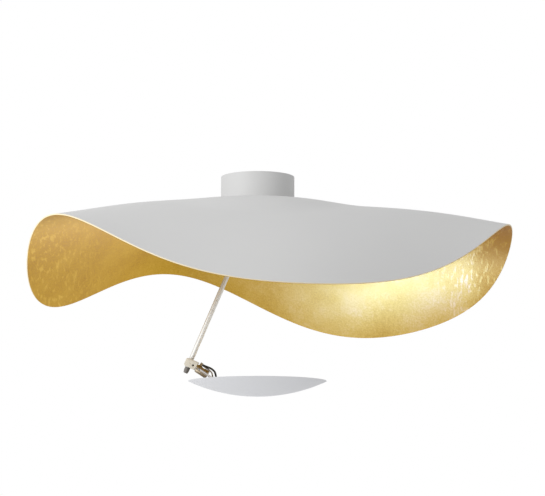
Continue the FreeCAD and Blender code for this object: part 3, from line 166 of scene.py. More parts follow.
@dataclass(frozen=True)
class PowderCoat(Finish):
    """Sprayed and baked powder: an even satin white with a fine orange peel that softens highlights."""
    colour: str
    shade_colour: str
    roughness: float = 0.6
    peel: float = 1.6 * MM
    peel_depth: float = 0.1 * MM
    peel_strength: float = 0.12
    drift: float = 120 * MM

    def shade(self, tree: Tree, place: Socket) -> Node:
        """Adds the paint's nodes.

        Args:
            tree: the material's tree.
            place: object coordinates.
        Returns:
            The shader.
        """
        _, tint = self.clouded(tree, place, self.drift, 3.0, (self.shade_colour, self.colour))
        skin = add_node(tree, "ShaderNodeTexNoise", {"Vector": place, "Scale": 1 / self.peel,
                                                     "Detail": 2.0})
        bump = add_node(tree, "ShaderNodeBump", {
            "Height": skin.outputs[0], "Strength": self.peel_strength, "Distance": self.peel_depth})
        return add_node(tree, "ShaderNodeBsdfPrincipled", {
            "Base Color": tint, "Roughness": self.roughness, "Normal": bump.outputs[0]})


@dataclass(frozen=True)
class GoldLeaf(Finish):
    """Beaten leaf laid by hand: a soft cloudy gold with painted shade darkening the right tip, fine
    crumples that glitter, and thin creases that gather towards both tips; crumples and creases are
    lightened by painted highlight. The creases are drawn about twice as wide as real ones, so that
    they show."""
    deep: str
    middle: str
    bright: str
    tone_stops: tuple[float, float, float] = (0.17, 0.265, 0.5)
    roughness: tuple[float, float] = (0.38, 0.5)
    # crumples, and the relief that they and the creases give
    crumple: float = 2.2 * MM
    crumple_height: float = 0.4
    relief: float = 0.7 * MM
    relief_strength: float = 0.35
    # how far the relief lightens the tone as painted highlight on crumples and creases, and how far
    #     # the wide patches brighten it
    relief_painted_highlight: float = 0.6
    patch: float = 60 * MM
    patch_tone: float = 0.16
    base_tone: float = 0.06
    # creases: their size along each axis, the noise that makes one, their height at the middle and at
    # the tips, and how far from the blank's centre it starts and ends to grow
    crease: tuple[float, float, float] = (3.4 * MM, 15 * MM, 15 * MM)
    crease_cut: tuple[float, float] = (0.5, 0.72)
    crease_height: tuple[float, float] = (0.03, 0.17)
    creased: tuple[float, float] = (195 * MM, 285 * MM)
    centre: float = 15 * MM
    # where painted shade darkens the right tip, and by how much of the tone
    painted_tip_shade: tuple[float, float] = (270 * MM, 305 * MM)
    painted_tip_shade_tone: float = 0.13

    def shade(self, tree: Tree, place: Socket) -> Node:
        """Adds the leaf's nodes.

        Args:
            tree: the material's tree.
            place: object coordinates.
        Returns:
            The shader.
        """
        crumples = add_node(tree, "ShaderNodeTexNoise", {
            "Vector": place, "Scale": 1 / self.crumple, "Detail": 3.0, "Roughness": 0.6,
            "Distortion": 0.4})
        across = add_node(tree, "ShaderNodeSeparateXYZ", {0: place}).outputs[0]
        height = add_node(tree, "ShaderNodeMath", {
            0: crumples.outputs[0], 1: self.crumple_height, 2: self.creases(tree, place, across)},
            operation="MULTIPLY_ADD").outputs[0]
        bump = add_node(tree, "ShaderNodeBump", {
            "Height": height, "Strength": self.relief_strength, "Distance": self.relief})
        tint = add_node(tree, "ShaderNodeValToRGB", {0: self.tone(tree, place, across, height)})
        low, mid, high = self.tone_stops
        stops = tint.color_ramp.elements
        stops[0].position, stops[0].color = low, linear(self.deep)
        stops[1].position, stops[1].color = high, linear(self.bright)
        stops.new(mid).color = linear(self.middle)
        gloss = add_node(tree, "ShaderNodeMapRange", {
            "Value": crumples.outputs[0], "From Min": NOISE_LOW, "From Max": NOISE_HIGH,
            "To Min": self.roughness[0], "To Max": self.roughness[1]})
        return add_node(tree, "ShaderNodeBsdfPrincipled", {
            "Base Color": tint.outputs[0], "Metallic": 1.0, "Roughness": gloss.outputs[0],
            "Normal": bump.outputs[0]})

    def tone(self, tree: Tree, place: Socket, across: Socket, height: Socket) -> Socket:
        """Adds the leaf's tone: cloudy, lightened by painted highlight on its relief and darkened by painted
        shade at the right tip.

        Args:
            tree: the material's tree.
            place: object coordinates.
            across: distance to the right of the lamp's middle.
            height: the relief's height.
        Returns:
            The tone, a number that is low for deep gold and high for bright gold.
        """
        patches = add_node(tree, "ShaderNodeTexNoise", {"Vector": place, "Scale": 1 / self.patch,
                                                        "Detail": 4.0})
        cloud = add_node(tree, "ShaderNodeMath", {
            0: patches.outputs[0], 1: self.patch_tone, 2: self.base_tone}, operation="MULTIPLY_ADD")
        # painted highlight: raised crumples and creases lighten the tone, over the random clouds
        mottle_and_highlight = add_node(tree, "ShaderNodeMath", {0: height, 1: self.relief_painted_highlight, 2: cloud.outputs[0]},
                          operation="MULTIPLY_ADD")
        # painted shade: the tone drops towards the right tip
        painted_tip_shade = add_node(tree, "ShaderNodeMapRange", {
            "Value": across, "From Min": self.painted_tip_shade[0], "From Max": self.painted_tip_shade[1],
            "To Min": 0.0, "To Max": self.painted_tip_shade_tone})
        return add_node(tree, "ShaderNodeMath", {0: mottle_and_highlight.outputs[0], 1: painted_tip_shade.outputs[0]},
                        operation="SUBTRACT").outputs[0]

    def creases(self, tree: Tree, place: Socket, across: Socket) -> Socket:
        """Adds the creases, stronger towards the tips.

        Args:
            tree: the material's tree.
            place: object coordinates.
            across: distance to the right of the lamp's middle.
        Returns:
            Their height.
        """
        strips = add_node(tree, "ShaderNodeMapping", {
            "Vector": place, "Scale": tuple(1 / size for size in self.crease)})
        pulls = add_node(tree, "ShaderNodeTexNoise", {
            "Vector": strips.outputs[0], "Scale": 1.0, "Detail": 1.5, "Distortion": 0.7})
        ridges = add_node(tree, "ShaderNodeMapRange", {
            "Value": pulls.outputs[0], "From Min": self.crease_cut[0], "From Max": self.crease_cut[1],
            "To Min": 0.0, "To Max": 1.0}, interpolation_type="SMOOTHSTEP")
        centred = add_node(tree, "ShaderNodeMath", {0: across, 1: self.centre}, operation="SUBTRACT")
        outward = add_node(tree, "ShaderNodeMath", {0: centred.outputs[0]}, operation="ABSOLUTE")
        gathered = add_node(tree, "ShaderNodeMapRange", {
            "Value": outward.outputs[0], "From Min": self.creased[0], "From Max": self.creased[1],
            "To Min": self.crease_height[0], "To Max": self.crease_height[1]},
            interpolation_type="SMOOTHSTEP")
        return add_node(tree, "ShaderNodeMath", {0: ridges.outputs[0], 1: gathered.outputs[0]},
                        operation="MULTIPLY").outputs[0]


@dataclass(frozen=True)
class TurnedMetal(Finish):
    """Turned, plated or polished metal: faint tool marks round one axis break up its reflections."""
    colour: str
    dull_colour: str
    roughness: float
    mark: float = 0.5 * MM
    run: float = 12 * MM
    lean: float = 0.0
    depth: float = 0.02 * MM
    mark_strength: float = 0.1
    gloss_swing: float = 0.1

    def shade(self, tree: Tree, place: Socket) -> Node:
        """Adds the metal's nodes.

        Args:
            tree: the material's tree.
            place: object coordinates.
        Returns:
            The shader.
        """
        turned = add_node(tree, "ShaderNodeMapping", {
            "Vector": place, "Rotation": (0.0, math.radians(-self.lean), 0.0),
            "Scale": (1 / self.run, 1 / self.run, 1 / self.mark)})
        marks = add_node(tree, "ShaderNodeTexNoise", {"Vector": turned.outputs[0], "Scale": 1.0,
                                                      "Detail": 2.0})
        _, tint = self.clouded(tree, place, self.run, 3.0, (self.dull_colour, self.colour))
        gloss = add_node(tree, "ShaderNodeMapRange", {
            "Value": marks.outputs[0], "From Min": NOISE_LOW, "From Max": NOISE_HIGH,
            "To Min": self.roughness * (1 - self.gloss_swing),
            "To Max": self.roughness * (1 + self.gloss_swing)})
        bump = add_node(tree, "ShaderNodeBump", {
            "Height": marks.outputs[0], "Strength": self.mark_strength, "Distance": self.depth})
        return add_node(tree, "ShaderNodeBsdfPrincipled", {
            "Base Color": tint, "Metallic": 1.0, "Roughness": gloss.outputs[0],
            "Normal": bump.outputs[0]})


@dataclass(frozen=True)
class Moulded(Finish):
    """Moulded plastic or rubber: one even colour, with a fine mould grain that breaks its shine."""
    colour: str
    grain_colour: str
    roughness: float
    grain: float = 0.6 * MM
    grain_depth: float = 0.05 * MM
    grain_strength: float = 0.2

    def shade(self, tree: Tree, place: Socket) -> Node:
        """Adds the plastic's nodes.

        Args:
            tree: the material's tree.
            place: object coordinates.
        Returns:
            The shader.
        """
        grain, tint = self.clouded(tree, place, self.grain, 3.0, (self.colour, self.grain_colour))
        bump = add_node(tree, "ShaderNodeBump", {
            "Height": grain, "Strength": self.grain_strength, "Distance": self.grain_depth})
        return add_node(tree, "ShaderNodeBsdfPrincipled", {
            "Base Color": tint, "Roughness": self.roughness, "Normal": bump.outputs[0]})


@dataclass(frozen=True)
class LitOpal(Finish):
    """Opal acrylic over the LEDs: a milky sheet that glows evenly, with a faint clouding."""
    colour: str
    glow_colour: str
    strength: float
    roughness: float = 0.35
    cloud: float = 9 * MM

    def shade(self, tree: Tree, place: Socket) -> Node:
        """Adds the acrylic's nodes.

        Args:
            tree: the material's tree.
            place: object coordinates.
        Returns:
            The shader.
        """
        _, glow = self.clouded(tree, place, self.cloud, 2.0, (self.colour, self.glow_colour))
        return add_node(tree, "ShaderNodeBsdfPrincipled", {
            "Base Color": linear(self.colour), "Roughness": self.roughness, "Emission Color": glow,
            "Emission Strength": self.strength})


@dataclass(frozen=True)
class FadingFloor(Finish):
    """Matt floor: pale where the lamp's shadow falls, and thinning out into the white of the room."""
    colour: str
    roughness: float = 0.8
    whole_to: float = 3.5
    gone_from: float = 5.0

    def shade(self, tree: Tree, place: Socket) -> Node:
        """Adds the floor's nodes, which fade with the distance from the ceiling cup.

        Args:
            tree: the material's tree.
            place: object coordinates.
        Returns:
            The shader.
        """
        away = add_node(tree, "ShaderNodeVectorMath", {0: place}, operation="LENGTH")
        faded = add_node(tree, "ShaderNodeMapRange", {
            "Value": away.outputs["Value"], "From Min": self.whole_to, "From Max": self.gone_from},
            interpolation_type="SMOOTHSTEP")
        paint = add_node(tree, "ShaderNodeBsdfPrincipled", {
            "Base Color": linear(self.colour), "Roughness": self.roughness})
        clear = add_node(tree, "ShaderNodeBsdfTransparent")
        return add_node(tree, "ShaderNodeMixShader", {0: faded.outputs[0], 1: paint.outputs[0],
                                                      2: clear.outputs[0]})


class Finishes(Enum):
    """Every finish on the lamp."""
    WHITE_PAINT = PowderCoat("white_powder_coat_satin", "#DCDCDB", "#D6D6D6")
    # the white paint again, brighter and bluer: painted light on the disc
    COOL_PAINT = PowderCoat("cool_white_powder_coat_satin", "#E2E3E7", "#DCDDE1")
    # cream on the sheet's cut edge: painted highlight and painted reflection of the gold
    CREAM_EDGE = PowderCoat("cream_primer_cut_edge", "#F3E6C8", "#EBDCB8", roughness=0.55)
    GOLD_LEAF = GoldLeaf("gold_leaf_hand_laid", "#A2730E", "#BD931F", "#E2BE52")
    NICKEL = TurnedMetal("nickel_plate_satin_on_steel", "#E3E3E1", "#D7D7D5", 0.58, lean=23.0,
                         depth=0.002 * MM)
    PALE_BRASS = TurnedMetal("pale_brass_satin_turned", "#D9D3C5", "#CFC8B9", 0.36, depth=0.003 * MM)
    POLISHED_BRASS = TurnedMetal("brass_polished_lacquered", "#EADFC6", "#DCCBA8", 0.2, depth=0.003 * MM)
    DARK_BRASS = TurnedMetal("brass_antique_brushed", "#B8AC98", "#8E826E", 0.42, depth=0.003 * MM)
    BRIGHT_STEEL = TurnedMetal("steel_polished_chromed", "#E9E9E8", "#D4D4D2", 0.14)
    ZINC = TurnedMetal("steel_zinc_plated", "#C9CACB", "#AEB0B2", 0.36)
    BLACK_STEEL = TurnedMetal("steel_black_oxide", "#2E2D2C", "#1D1C1C", 0.45)
    ALUMINIUM = TurnedMetal("aluminium_turned", "#D9DADB", "#C3C4C6", 0.32)
    NYLON = Moulded("nylon_natural_turned", "#E9E5D8", "#DDD8C8", 0.5)
    WHITE_PLASTIC = Moulded("abs_white_moulded", "#E6E6E3", "#DAD9D5", 0.45)
    GREY_PLASTIC = Moulded("abs_grey_moulded", "#7C7976", "#6B6866", 0.5)
    RUBBER = Moulded("rubber_black_moulded", "#1C1B1B", "#272625", 0.7)
    BLACK_PVC = Moulded("pvc_black_cable_jacket", "#201E1D", "#2C2A28", 0.42)
    GREY_PVC = Moulded("pvc_grey_cable_jacket", "#B3AFAB", "#A5A19D", 0.42)
    BOARD = Moulded("circuit_board_white_mask", "#ECECE6", "#DEDED6", 0.4)
    PHOSPHOR = Moulded("led_phosphor_silicone", "#E8C95A", "#D9B445", 0.3)
    OPAL = LitOpal("opal_acrylic_lit", "#F6F1E4", "#FFF4DE", 1.5)

    @property
    def made(self) -> bpy.types.Material:
        """The finish's material."""
        return self.value.material()


# pieces

# in a copied mesh, points this near are welded, faces up to the first angle apart are joined, edges
# past the second are broken, and a full round has this many faces
WELD = 0.001 * MM
FLAT_TO = math.radians(0.5)
BROKEN_FROM = math.radians(28)
FULL_ROUND = 3


def evaluated_mesh(obj: Object) -> Mesh:
    """The mesh that an object's modifiers give."""
    graph = bpy.context.evaluated_depsgraph_get()
    return bpy.data.meshes.new_from_object(obj.evaluated_get(graph), depsgraph=graph)


def new_object(name: str, data: bpy.types.ID) -> Object:
    """Links a new object into the scene, at the origin.

    Args:
        name: its name.
        data: its mesh, curve, light or camera.
    Returns:
        The object.
    """
    obj = bpy.data.objects.new(name, data)
    bpy.context.scene.collection.objects.link(obj)
    return obj


def smooth(mesh: Mesh, angle: float = 32.0) -> None:
    """Shades a mesh smooth, with edges sharper than the angle, in degrees, kept."""
    mesh.polygons.foreach_set("use_smooth", [True] * len(mesh.polygons))
    mesh.set_sharp_from_angle(angle=math.radians(angle))


def mesh_of(work: bmesh.types.BMesh, mesh: Mesh) -> Mesh:
    """Writes a worked mesh out and frees it.

    Args:
        work: the worked mesh.
        mesh: the mesh that it is written to.
    Returns:
        The written mesh.
    """
    work.to_mesh(mesh)
    work.free()
    return mesh


def set_inputs(modifier: bpy.types.Modifier, values: dict[str, Any]) -> None:
    """Sets a node modifier's inputs by their sockets' identifiers.

    Args:
        modifier: the modifier, which has its tree.
        values: values by the inputs' names.
    """
    for item in modifier.node_group.interface.items_tree:
        if item.in_out == "INPUT" and item.name in values:
            modifier[item.identifier] = values[item.name]


def bake_modifiers(obj: Object) -> None:
    """Turns an object's modifiers into its own mesh.

    Args:
        obj: the object, which loses its modifiers.
    """
    mesh = evaluated_mesh(obj)
    obj.modifiers.clear()
    old = obj.data
    obj.data = mesh
    bpy.data.meshes.remove(old)


def body_of(node: str) -> str:
    """The body that a node belongs to."""
    bodies = frame["record"]["behaviour"]["bodies"]
    return next(body for body, nodes in bodies.items() if node in nodes)


def finish_piece(obj: Object, node: str) -> Object:
    """Rides a finished piece on its body and says what it stands for.

    Args:
        obj: the piece, at the origin.
        node: the node that it stands for.
    Returns:
        The piece.
    """
    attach(obj, body_of(node))
    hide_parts(node)
    LOG.info("%s: %d faces on %s", obj.name, len(obj.data.polygons), body_of(node))
    return obj


def machined_copy(node: str, finish: Finishes, edge: float, segments: int = 2) -> Object:
    """A node's own shape with its edges broken and its faces smooth, in a finish.

    Args:
        node: the node that it stands for.
        finish: its finish.
        edge: how far its edges are rounded.
        segments: faces across a rounded edge.
    Returns:
        The piece.
    """
    mesh = frame["nodes"][node].data.copy()
    mesh.name = node + "_machined"
    mesh.materials.clear()
    mesh.materials.append(finish.made)
    work = bmesh.new()
    work.from_mesh(mesh)
    bmesh.ops.remove_doubles(work, verts=work.verts, dist=WELD)
    bmesh.ops.dissolve_limit(work, angle_limit=FLAT_TO, verts=work.verts, edges=work.edges)
    for face in work.faces:
        face.material_index = 0
    sharp = [line for line in work.edges
             if len(line.link_faces) == 2 and line.calc_face_angle(0) > BROKEN_FROM]
    bmesh.ops.bevel(work, geom=sharp, offset=edge, segments=segments, profile=0.5, affect="EDGES",
                    clamp_overlap=True)
    mesh_of(work, mesh)
    for layer in [item.name for item in mesh.attributes if item.name == "custom_normal"]:
        mesh.attributes.remove(mesh.attributes[layer])
    smooth(mesh)
    return finish_piece(new_object(node + "_machined", mesh), node)


def dress(finish: Finishes, *nodes: str) -> None:
    """Gives nodes that keep their own mesh a finish.

    Args:
        finish: the finish.
        nodes: the nodes.
    """
    for node in nodes:
        slots = frame["nodes"][node].data.materials
        slots.clear()
        slots.append(finish.made)
        LOG.info("%s: dressed in %s", node, finish.value.name)


def turn_about_y(angle: float) -> Matrix:
    """A turn about the front-to-back axis, in degrees."""
    return Matrix.Rotation(math.radians(angle), 4, "Y")


@dataclass(frozen=True)
class Frames:
    """Where the rod, the fork and the disc lie, as the part has them."""
    rod_origin: Vector = Vector((0, 0, -35 * MM))
    rod_lean: float = 23.0
    clamp_station: float = 214.5 * MM
    fork_lean: float = 33.0
    disc_reach: float = 83.8 * MM
    disc_drop: float = 21.9 * MM

    @property
    def clamp(self) -> Vector:
        """The clamp's middle on the rod."""
        return self.rod_origin + turn_about_y(self.rod_lean) @ Vector((0, 0, -self.clamp_station))

    @property
    def disc(self) -> Vector:
        """The middle of the disc's rim."""
        return self.clamp + Vector((self.disc_reach, 0, -self.disc_drop))

    def from_fork(self, along: float, back: float, square: float) -> Vector:
        """A place given along the fork, behind it and square to it."""
        return self.clamp + turn_about_y(self.fork_lean) @ Vector((along, back, square))

    def from_clamp(self, right: float, back: float, down: float) -> Vector:
        """A place given to the right of, behind and below the clamp's middle."""
        return self.clamp + Vector((right, back, -down))


FRAMES = Frames()


class Station(Enum):
    """Six even stations along the sheet, from its left tip to its right tip: the lean, in degrees, and
    how far the ridge drops."""
    LEFT_TIP = (26.4, 94.2 * MM)
    LEFT_LOBE = (-1.1, 4.7 * MM)
    WAIST = (-4.9, -2.8 * MM)
    MIDDLE = (0.1, 4.8 * MM)
    RIGHT_LOBE = (4.6, 14.0 * MM)
    RIGHT_TIP = (21.8, 50.3 * MM)


class Arch(Enum):
    """Three even stations along the sheet: the radius of the arch that it is bent to."""
    LEFT = 414 * MM
    MIDDLE = 369 * MM
    RIGHT = 166 * MM


@dataclass
class WaveReflector:
    """The bent sheet, painted above and leafed below, from the rule that the flat blank is bent by."""
    blank_radius: float = 300 * MM
    blank_shift: float = 15 * MM
    seat_radius: float = 50 * MM
    wave_radius: float = 150 * MM
    hole_radius: float = 8.2 * MM
    seat_height: float = -34 * MM
    shell: float = 1.5 * MM
    leaf: float = 0.3 * MM
    dent_size: float = 26 * MM
    dent_depth: float = 0.2 * MM
    dent_detail: float = 3.0
    edge_trim: float = 0.1 * MM
    seam: float = 0.01 * MM
    rim_angle: float = 50.0
    rings: int = 100
    segments: int = 300

    # the rule, one Math node a line: result, operation and what it works on
    BLANK_RULE = (
        ("share", "ADD", "grid across", 0.5),
        ("round", "ADD", "grid along", 0.5),
        ("rim", "SUBTRACT", "Blank Radius", "Edge Trim"),
        ("radius", "SUBTRACT", "rim", "Hole Radius"),
        ("radius", "MULTIPLY_ADD", "radius", "share", "Hole Radius"),
        ("past", "SUBTRACT", "radius", "Seat Radius"),
        ("reach", "SUBTRACT", "Blank Radius", "Seat Radius"),
        ("past", "DIVIDE", "past", "reach"),
        ("past", "MAXIMUM", "past", 0.0),
        ("middle", "MULTIPLY", "past", "Blank Shift"),
        ("angle", "MULTIPLY", "round", math.tau),
        ("cosine", "COSINE", "angle"),
        ("sine", "SINE", "angle"),
        ("across", "MULTIPLY_ADD", "radius", "cosine", "middle"),
        ("along", "MULTIPLY", "radius", "sine"),
        ("width", "MULTIPLY", "Blank Radius", 2.0),
        ("station", "SUBTRACT", "across", "Blank Shift"),
        ("station", "ADD", "station", "Blank Radius"),
        ("station", "DIVIDE", "station", "width"),
        ("square", "MULTIPLY", "across", "across"),
        ("square", "MULTIPLY_ADD", "along", "along", "square"),
        ("spread", "SQRT", "square"),
    )
    WAVE_RULE = (
        ("lean", "RADIANS", "lean"),
        ("far", "MULTIPLY_ADD", "bend", "along", "lean"),
        ("far_sine", "SINE", "far"),
        ("far_cosine", "COSINE", "far"),
        ("near_sine", "SINE", "lean"),
        ("near_cosine", "COSINE", "lean"),
        ("forward", "SUBTRACT", "far_sine", "near_sine"),
        ("forward", "DIVIDE", "forward", "bend"),
        ("forward", "SUBTRACT", "forward", "along"),
        ("forward", "MULTIPLY_ADD", "forward", "blend", "along"),
        ("drop", "SUBTRACT", "near_cosine", "far_cosine"),
        ("drop", "DIVIDE", "drop", "bend"),
        ("drop", "ADD", "drop", "ridge"),
        ("drop", "MULTIPLY", "drop", "blend"),
        ("height", "SUBTRACT", "Seat Height", "drop"),
    )

    def build(self) -> Object:
        """Builds the painted shell and the leaf under it.

        Returns:
            The leaf.
        """
        tree = self.bent_blank()
        shell = self.bent_sheet(tree, "reflector_sheet", 0.0, 0.0, Finishes.WHITE_PAINT)
        # the cut edge takes the cream of painted highlight and painted reflection
        shell.data.materials.append(Finishes.CREAM_EDGE.made)
        self.thicken(shell, self.shell, 1)
        finish_piece(shell, "reflector_shell")
        leaf = self.bent_sheet(tree, "reflector_gold_leaf", self.shell, self.dent_depth,
                               Finishes.GOLD_LEAF)
        self.thicken(leaf, self.leaf, 0)
        return finish_piece(leaf, "gold_leaf_lining")

    def inputs(self) -> dict[str, float]:
        """Lists the tree's named inputs.

        Returns:
            Their values by name, with 0 for a sheet's own.
        """
        values = {
            "Blank Radius": self.blank_radius, "Blank Shift": self.blank_shift,
            "Seat Radius": self.seat_radius, "Wave Radius": self.wave_radius,
            "Hole Radius": self.hole_radius, "Seat Height": self.seat_height,
            "Edge Trim": self.edge_trim, "Depth": 0.0, "Dent Depth": 0.0, "Dent Size": self.dent_size,
        }
        for station in Station:
            values[f"Lean {station.name}"], values[f"Ridge {station.name}"] = station.value
        for arch in Arch:
            values[f"Bend {arch.name}"] = 1 / arch.value
        return values

    def bent_blank(self) -> Tree:
        """Makes the tree that bends a flat round blank into the wave.

        Returns:
            The tree.
        """
        tree = bpy.data.node_groups.new("bent_blank", "GeometryNodeTree")
        tree.interface.new_socket("Geometry", in_out="INPUT", socket_type="NodeSocketGeometry")
        for name in self.inputs():
            tree.interface.new_socket(name, in_out="INPUT", socket_type="NodeSocketFloat")
        tree.interface.new_socket("Finish", in_out="INPUT", socket_type="NodeSocketMaterial")
        tree.interface.new_socket("Geometry", in_out="OUTPUT", socket_type="NodeSocketGeometry")
        given = add_node(tree, "NodeGroupInput").outputs
        values: dict[str, Any] = {name: given[name] for name in self.inputs()}

        # the flat blank starts as a square grid of side 1, whose rows become rings
        grid = add_node(tree, "GeometryNodeMeshGrid", {
            "Size X": 1.0, "Size Y": 1.0, "Vertices X": self.rings + 1, "Vertices Y": self.segments + 1})
        place = add_node(tree, "GeometryNodeInputPosition").outputs[0]
        split = add_node(tree, "ShaderNodeSeparateXYZ", {0: place}).outputs
        values["grid across"], values["grid along"] = split[0], split[1]
        self.follow(tree, values, self.BLANK_RULE)
        for result, stations in (("lean", Station), ("ridge", Station), ("bend", Arch)):
            named = [values[f"{result.capitalize()} {station.name}"] for station in stations]
            values[result] = self.through_stations(tree, values["station"], named)
        values["blend"] = add_node(tree, "ShaderNodeMapRange", {
            "Value": values["spread"], "From Min": values["Seat Radius"],
            "From Max": values["Wave Radius"]}, interpolation_type="SMOOTHERSTEP").outputs[0]
        self.follow(tree, values, self.WAVE_RULE)
        bent = add_node(tree, "ShaderNodeCombineXYZ", {
            0: values["across"], 1: values["forward"], 2: values["height"]})
        sheet = add_node(tree, "GeometryNodeSetPosition", {
            "Geometry": grid.outputs["Mesh"], "Position": bent.outputs[0]})
        closed = add_node(tree, "GeometryNodeMergeByDistance", {
            "Geometry": sheet.outputs[0], "Distance": self.seam})
        under = self.dented_place(tree, values)
        sunk = add_node(tree, "GeometryNodeSetPosition", {
            "Geometry": closed.outputs[0], "Position": under})
        whole = add_node(tree, "GeometryNodeRealizeInstances", {"Geometry": sunk.outputs[0]})
        dressed = add_node(tree, "GeometryNodeSetMaterial", {
            "Geometry": whole.outputs[0], "Material": given["Finish"]})
        add_node(tree, "NodeGroupOutput", {0: dressed.outputs[0]})
        return tree

    def dented_place(self, tree: Tree, values: dict[str, Any]) -> Socket:
        """Adds where a face lies under the bent blank, with its small dents.

        Args:
            tree: the tree that gets the nodes.
            values: sockets by name.
        Returns:
            The place.
        """
        place = add_node(tree, "GeometryNodeInputPosition").outputs[0]
        scale = add_node(tree, "ShaderNodeMath", {0: 1.0, 1: values["Dent Size"]}, operation="DIVIDE")
        dents = add_node(tree, "ShaderNodeTexNoise", {
            "Vector": place, "Scale": scale.outputs[0], "Detail": self.dent_detail})
        depth = add_node(tree, "ShaderNodeMath", {
            0: dents.outputs[0], 1: values["Dent Depth"], 2: values["Depth"]}, operation="MULTIPLY_ADD")
        sink = add_node(tree, "ShaderNodeVectorMath", {
            0: add_node(tree, "GeometryNodeInputNormal").outputs[0], "Scale": depth.outputs[0]},
            operation="SCALE")
        return add_node(tree, "ShaderNodeVectorMath", {0: place, 1: sink.outputs[0]},
                        operation="SUBTRACT").outputs[0]

    @staticmethod
    def follow(tree: Tree, values: dict[str, Any], rule: Sequence[tuple]) -> None:
        """Adds a rule's Math nodes.

        Args:
            tree: the tree that gets them.
            values: sockets by name, read and added to.
            rule: result, operation and operands of each node.
        """
        for result, operation, *operands in rule:
            inputs = {place: values.get(item, item) for place, item in enumerate(operands)}
            values[result] = add_node(tree, "ShaderNodeMath", inputs, operation=operation).outputs[0]

    @staticmethod
    def through_stations(tree: Tree, position: Socket, stations: Sequence[Socket]) -> Socket:
        """Adds the smooth curve through evenly spaced values, the polynomial of lowest degree.

        Args:
            tree: the tree that gets the nodes.
            position: 0 at the first value and 1 at the last.
            stations: the values.
        Returns:
            The curve's value at the position.
        """
        last = len(stations) - 1
        total: Any = 0.0
        for here, value in enumerate(stations):
            weight: Any = value
            for other in range(last + 1):
                if other == here:
                    continue
                gap = here - other
                share = add_node(tree, "ShaderNodeMath", {0: position, 1: last / gap, 2: -other / gap},
                                 operation="MULTIPLY_ADD")
                weight = add_node(tree, "ShaderNodeMath", {0: weight, 1: share.outputs[0]},
                                  operation="MULTIPLY").outputs[0]
            total = add_node(tree, "ShaderNodeMath", {0: weight, 1: total}, operation="ADD").outputs[0]
        return total

    def bent_sheet(self, tree: Tree, name: str, depth: float, dents: float, finish: Finishes) -> Object:
        """Makes one bent face of the sheet as a mesh, facing up.

        Args:
            tree: the bending tree.
            name: the piece's name.
            depth: how far it lies under the upper face.
            dents: depth of its small dents.
            finish: its finish.
        Returns:
            The new object, a face without thickness.
        """
        obj = new_object(name, bpy.data.meshes.new(name))
        modifier = obj.modifiers.new("bend", "NODES")
        modifier.node_group = tree
        set_inputs(modifier, {**self.inputs(), "Depth": depth, "Dent Depth": dents,
                              "Finish": finish.made})
        bake_modifiers(obj)
        return obj

    def thicken(self, obj: Object, thickness: float, rim_slot: int) -> None:
        """Gives a bent face its thickness, downwards.

        Args:
            obj: the face.
            thickness: the thickness.
            rim_slot: which of its materials the cut edge gets, counted from its first.
        """
        wall = obj.modifiers.new("thickness", "SOLIDIFY")
        wall.thickness = thickness
        wall.offset = -1.0
        wall.use_even_offset = True
        wall.material_offset_rim = rim_slot
        bake_modifiers(obj)
        smooth(obj.data, self.rim_angle)


@dataclass(frozen=True)
class PanHeadScrew:
    """A pan-head screw with a hexagon socket, the seat of its head at height 0. Its key is half the
    socket's width across the flats."""
    name: str
    shank_radius: float
    shank_length: float
    head_radius: float
    head_height: float
    key: float
    sides: int = 24

    # up the rounded head, as shares of its radius and height, then the socket's floor as a share of that
    # height, and half the angle that one of the socket's flats takes up
    HEAD = ((1.0, 0.0), (1.0, 0.45), (0.94, 0.74), (0.8, 0.93), (0.6, 1.0))
    SOCKET_FLOOR = 0.35
    HALF_FLAT = math.pi / 6

    def mesh(self) -> Mesh:
        """Makes the screw's closed mesh.

        Returns:
            The mesh.
        """
        rings = [(self.shank_radius, -self.shank_length, False), (self.shank_radius, 0.0, False)]
        rings += [(wide * self.head_radius, up * self.head_height, False) for wide, up in self.HEAD]
        rings += [(self.key, self.head_height, True),
                  (self.key, self.SOCKET_FLOOR * self.head_height, True)]
        work = bmesh.new()
        loops = []
        for size, level, six_sided in rings:
            loop = []
            for step in range(self.sides):
                angle = math.tau * step / self.sides
                off_flat = (angle + self.HALF_FLAT) % (2 * self.HALF_FLAT) - self.HALF_FLAT
                reach = size / math.cos(off_flat) if six_sided else size
                loop.append(work.verts.new((reach * math.cos(angle), reach * math.sin(angle), level)))
            loops.append(loop)
        for low, high in zip(loops, loops[1:]):
            for step in range(self.sides):
                after = (step + 1) % self.sides
                work.faces.new((low[step], low[after], high[after], high[step]))
        work.faces.new(reversed(loops[0]))
        work.faces.new(loops[-1])
        return mesh_of(work, bpy.data.meshes.new(self.name))


@dataclass(frozen=True)
class LedPackage:
    """A square LED package with rounded edges, its foot at height 0."""
    name: str = "led_package"
    side: float = 3 * MM
    height: float = 0.7 * MM
    edge: float = 0.14 * MM

    def mesh(self) -> Mesh:
        """Makes the package's closed mesh.

        Returns:
            The mesh.
        """
        work = bmesh.new()
        bmesh.ops.create_cube(work, size=1.0)
        bmesh.ops.scale(work, verts=work.verts, vec=(self.side, self.side, self.height))
        bmesh.ops.translate(work, verts=work.verts, vec=(0, 0, self.height / 2))
        bmesh.ops.bevel(work, geom=work.edges, offset=self.edge, segments=2, profile=0.5, affect="EDGES")
        return mesh_of(work, bpy.data.meshes.new(self.name))


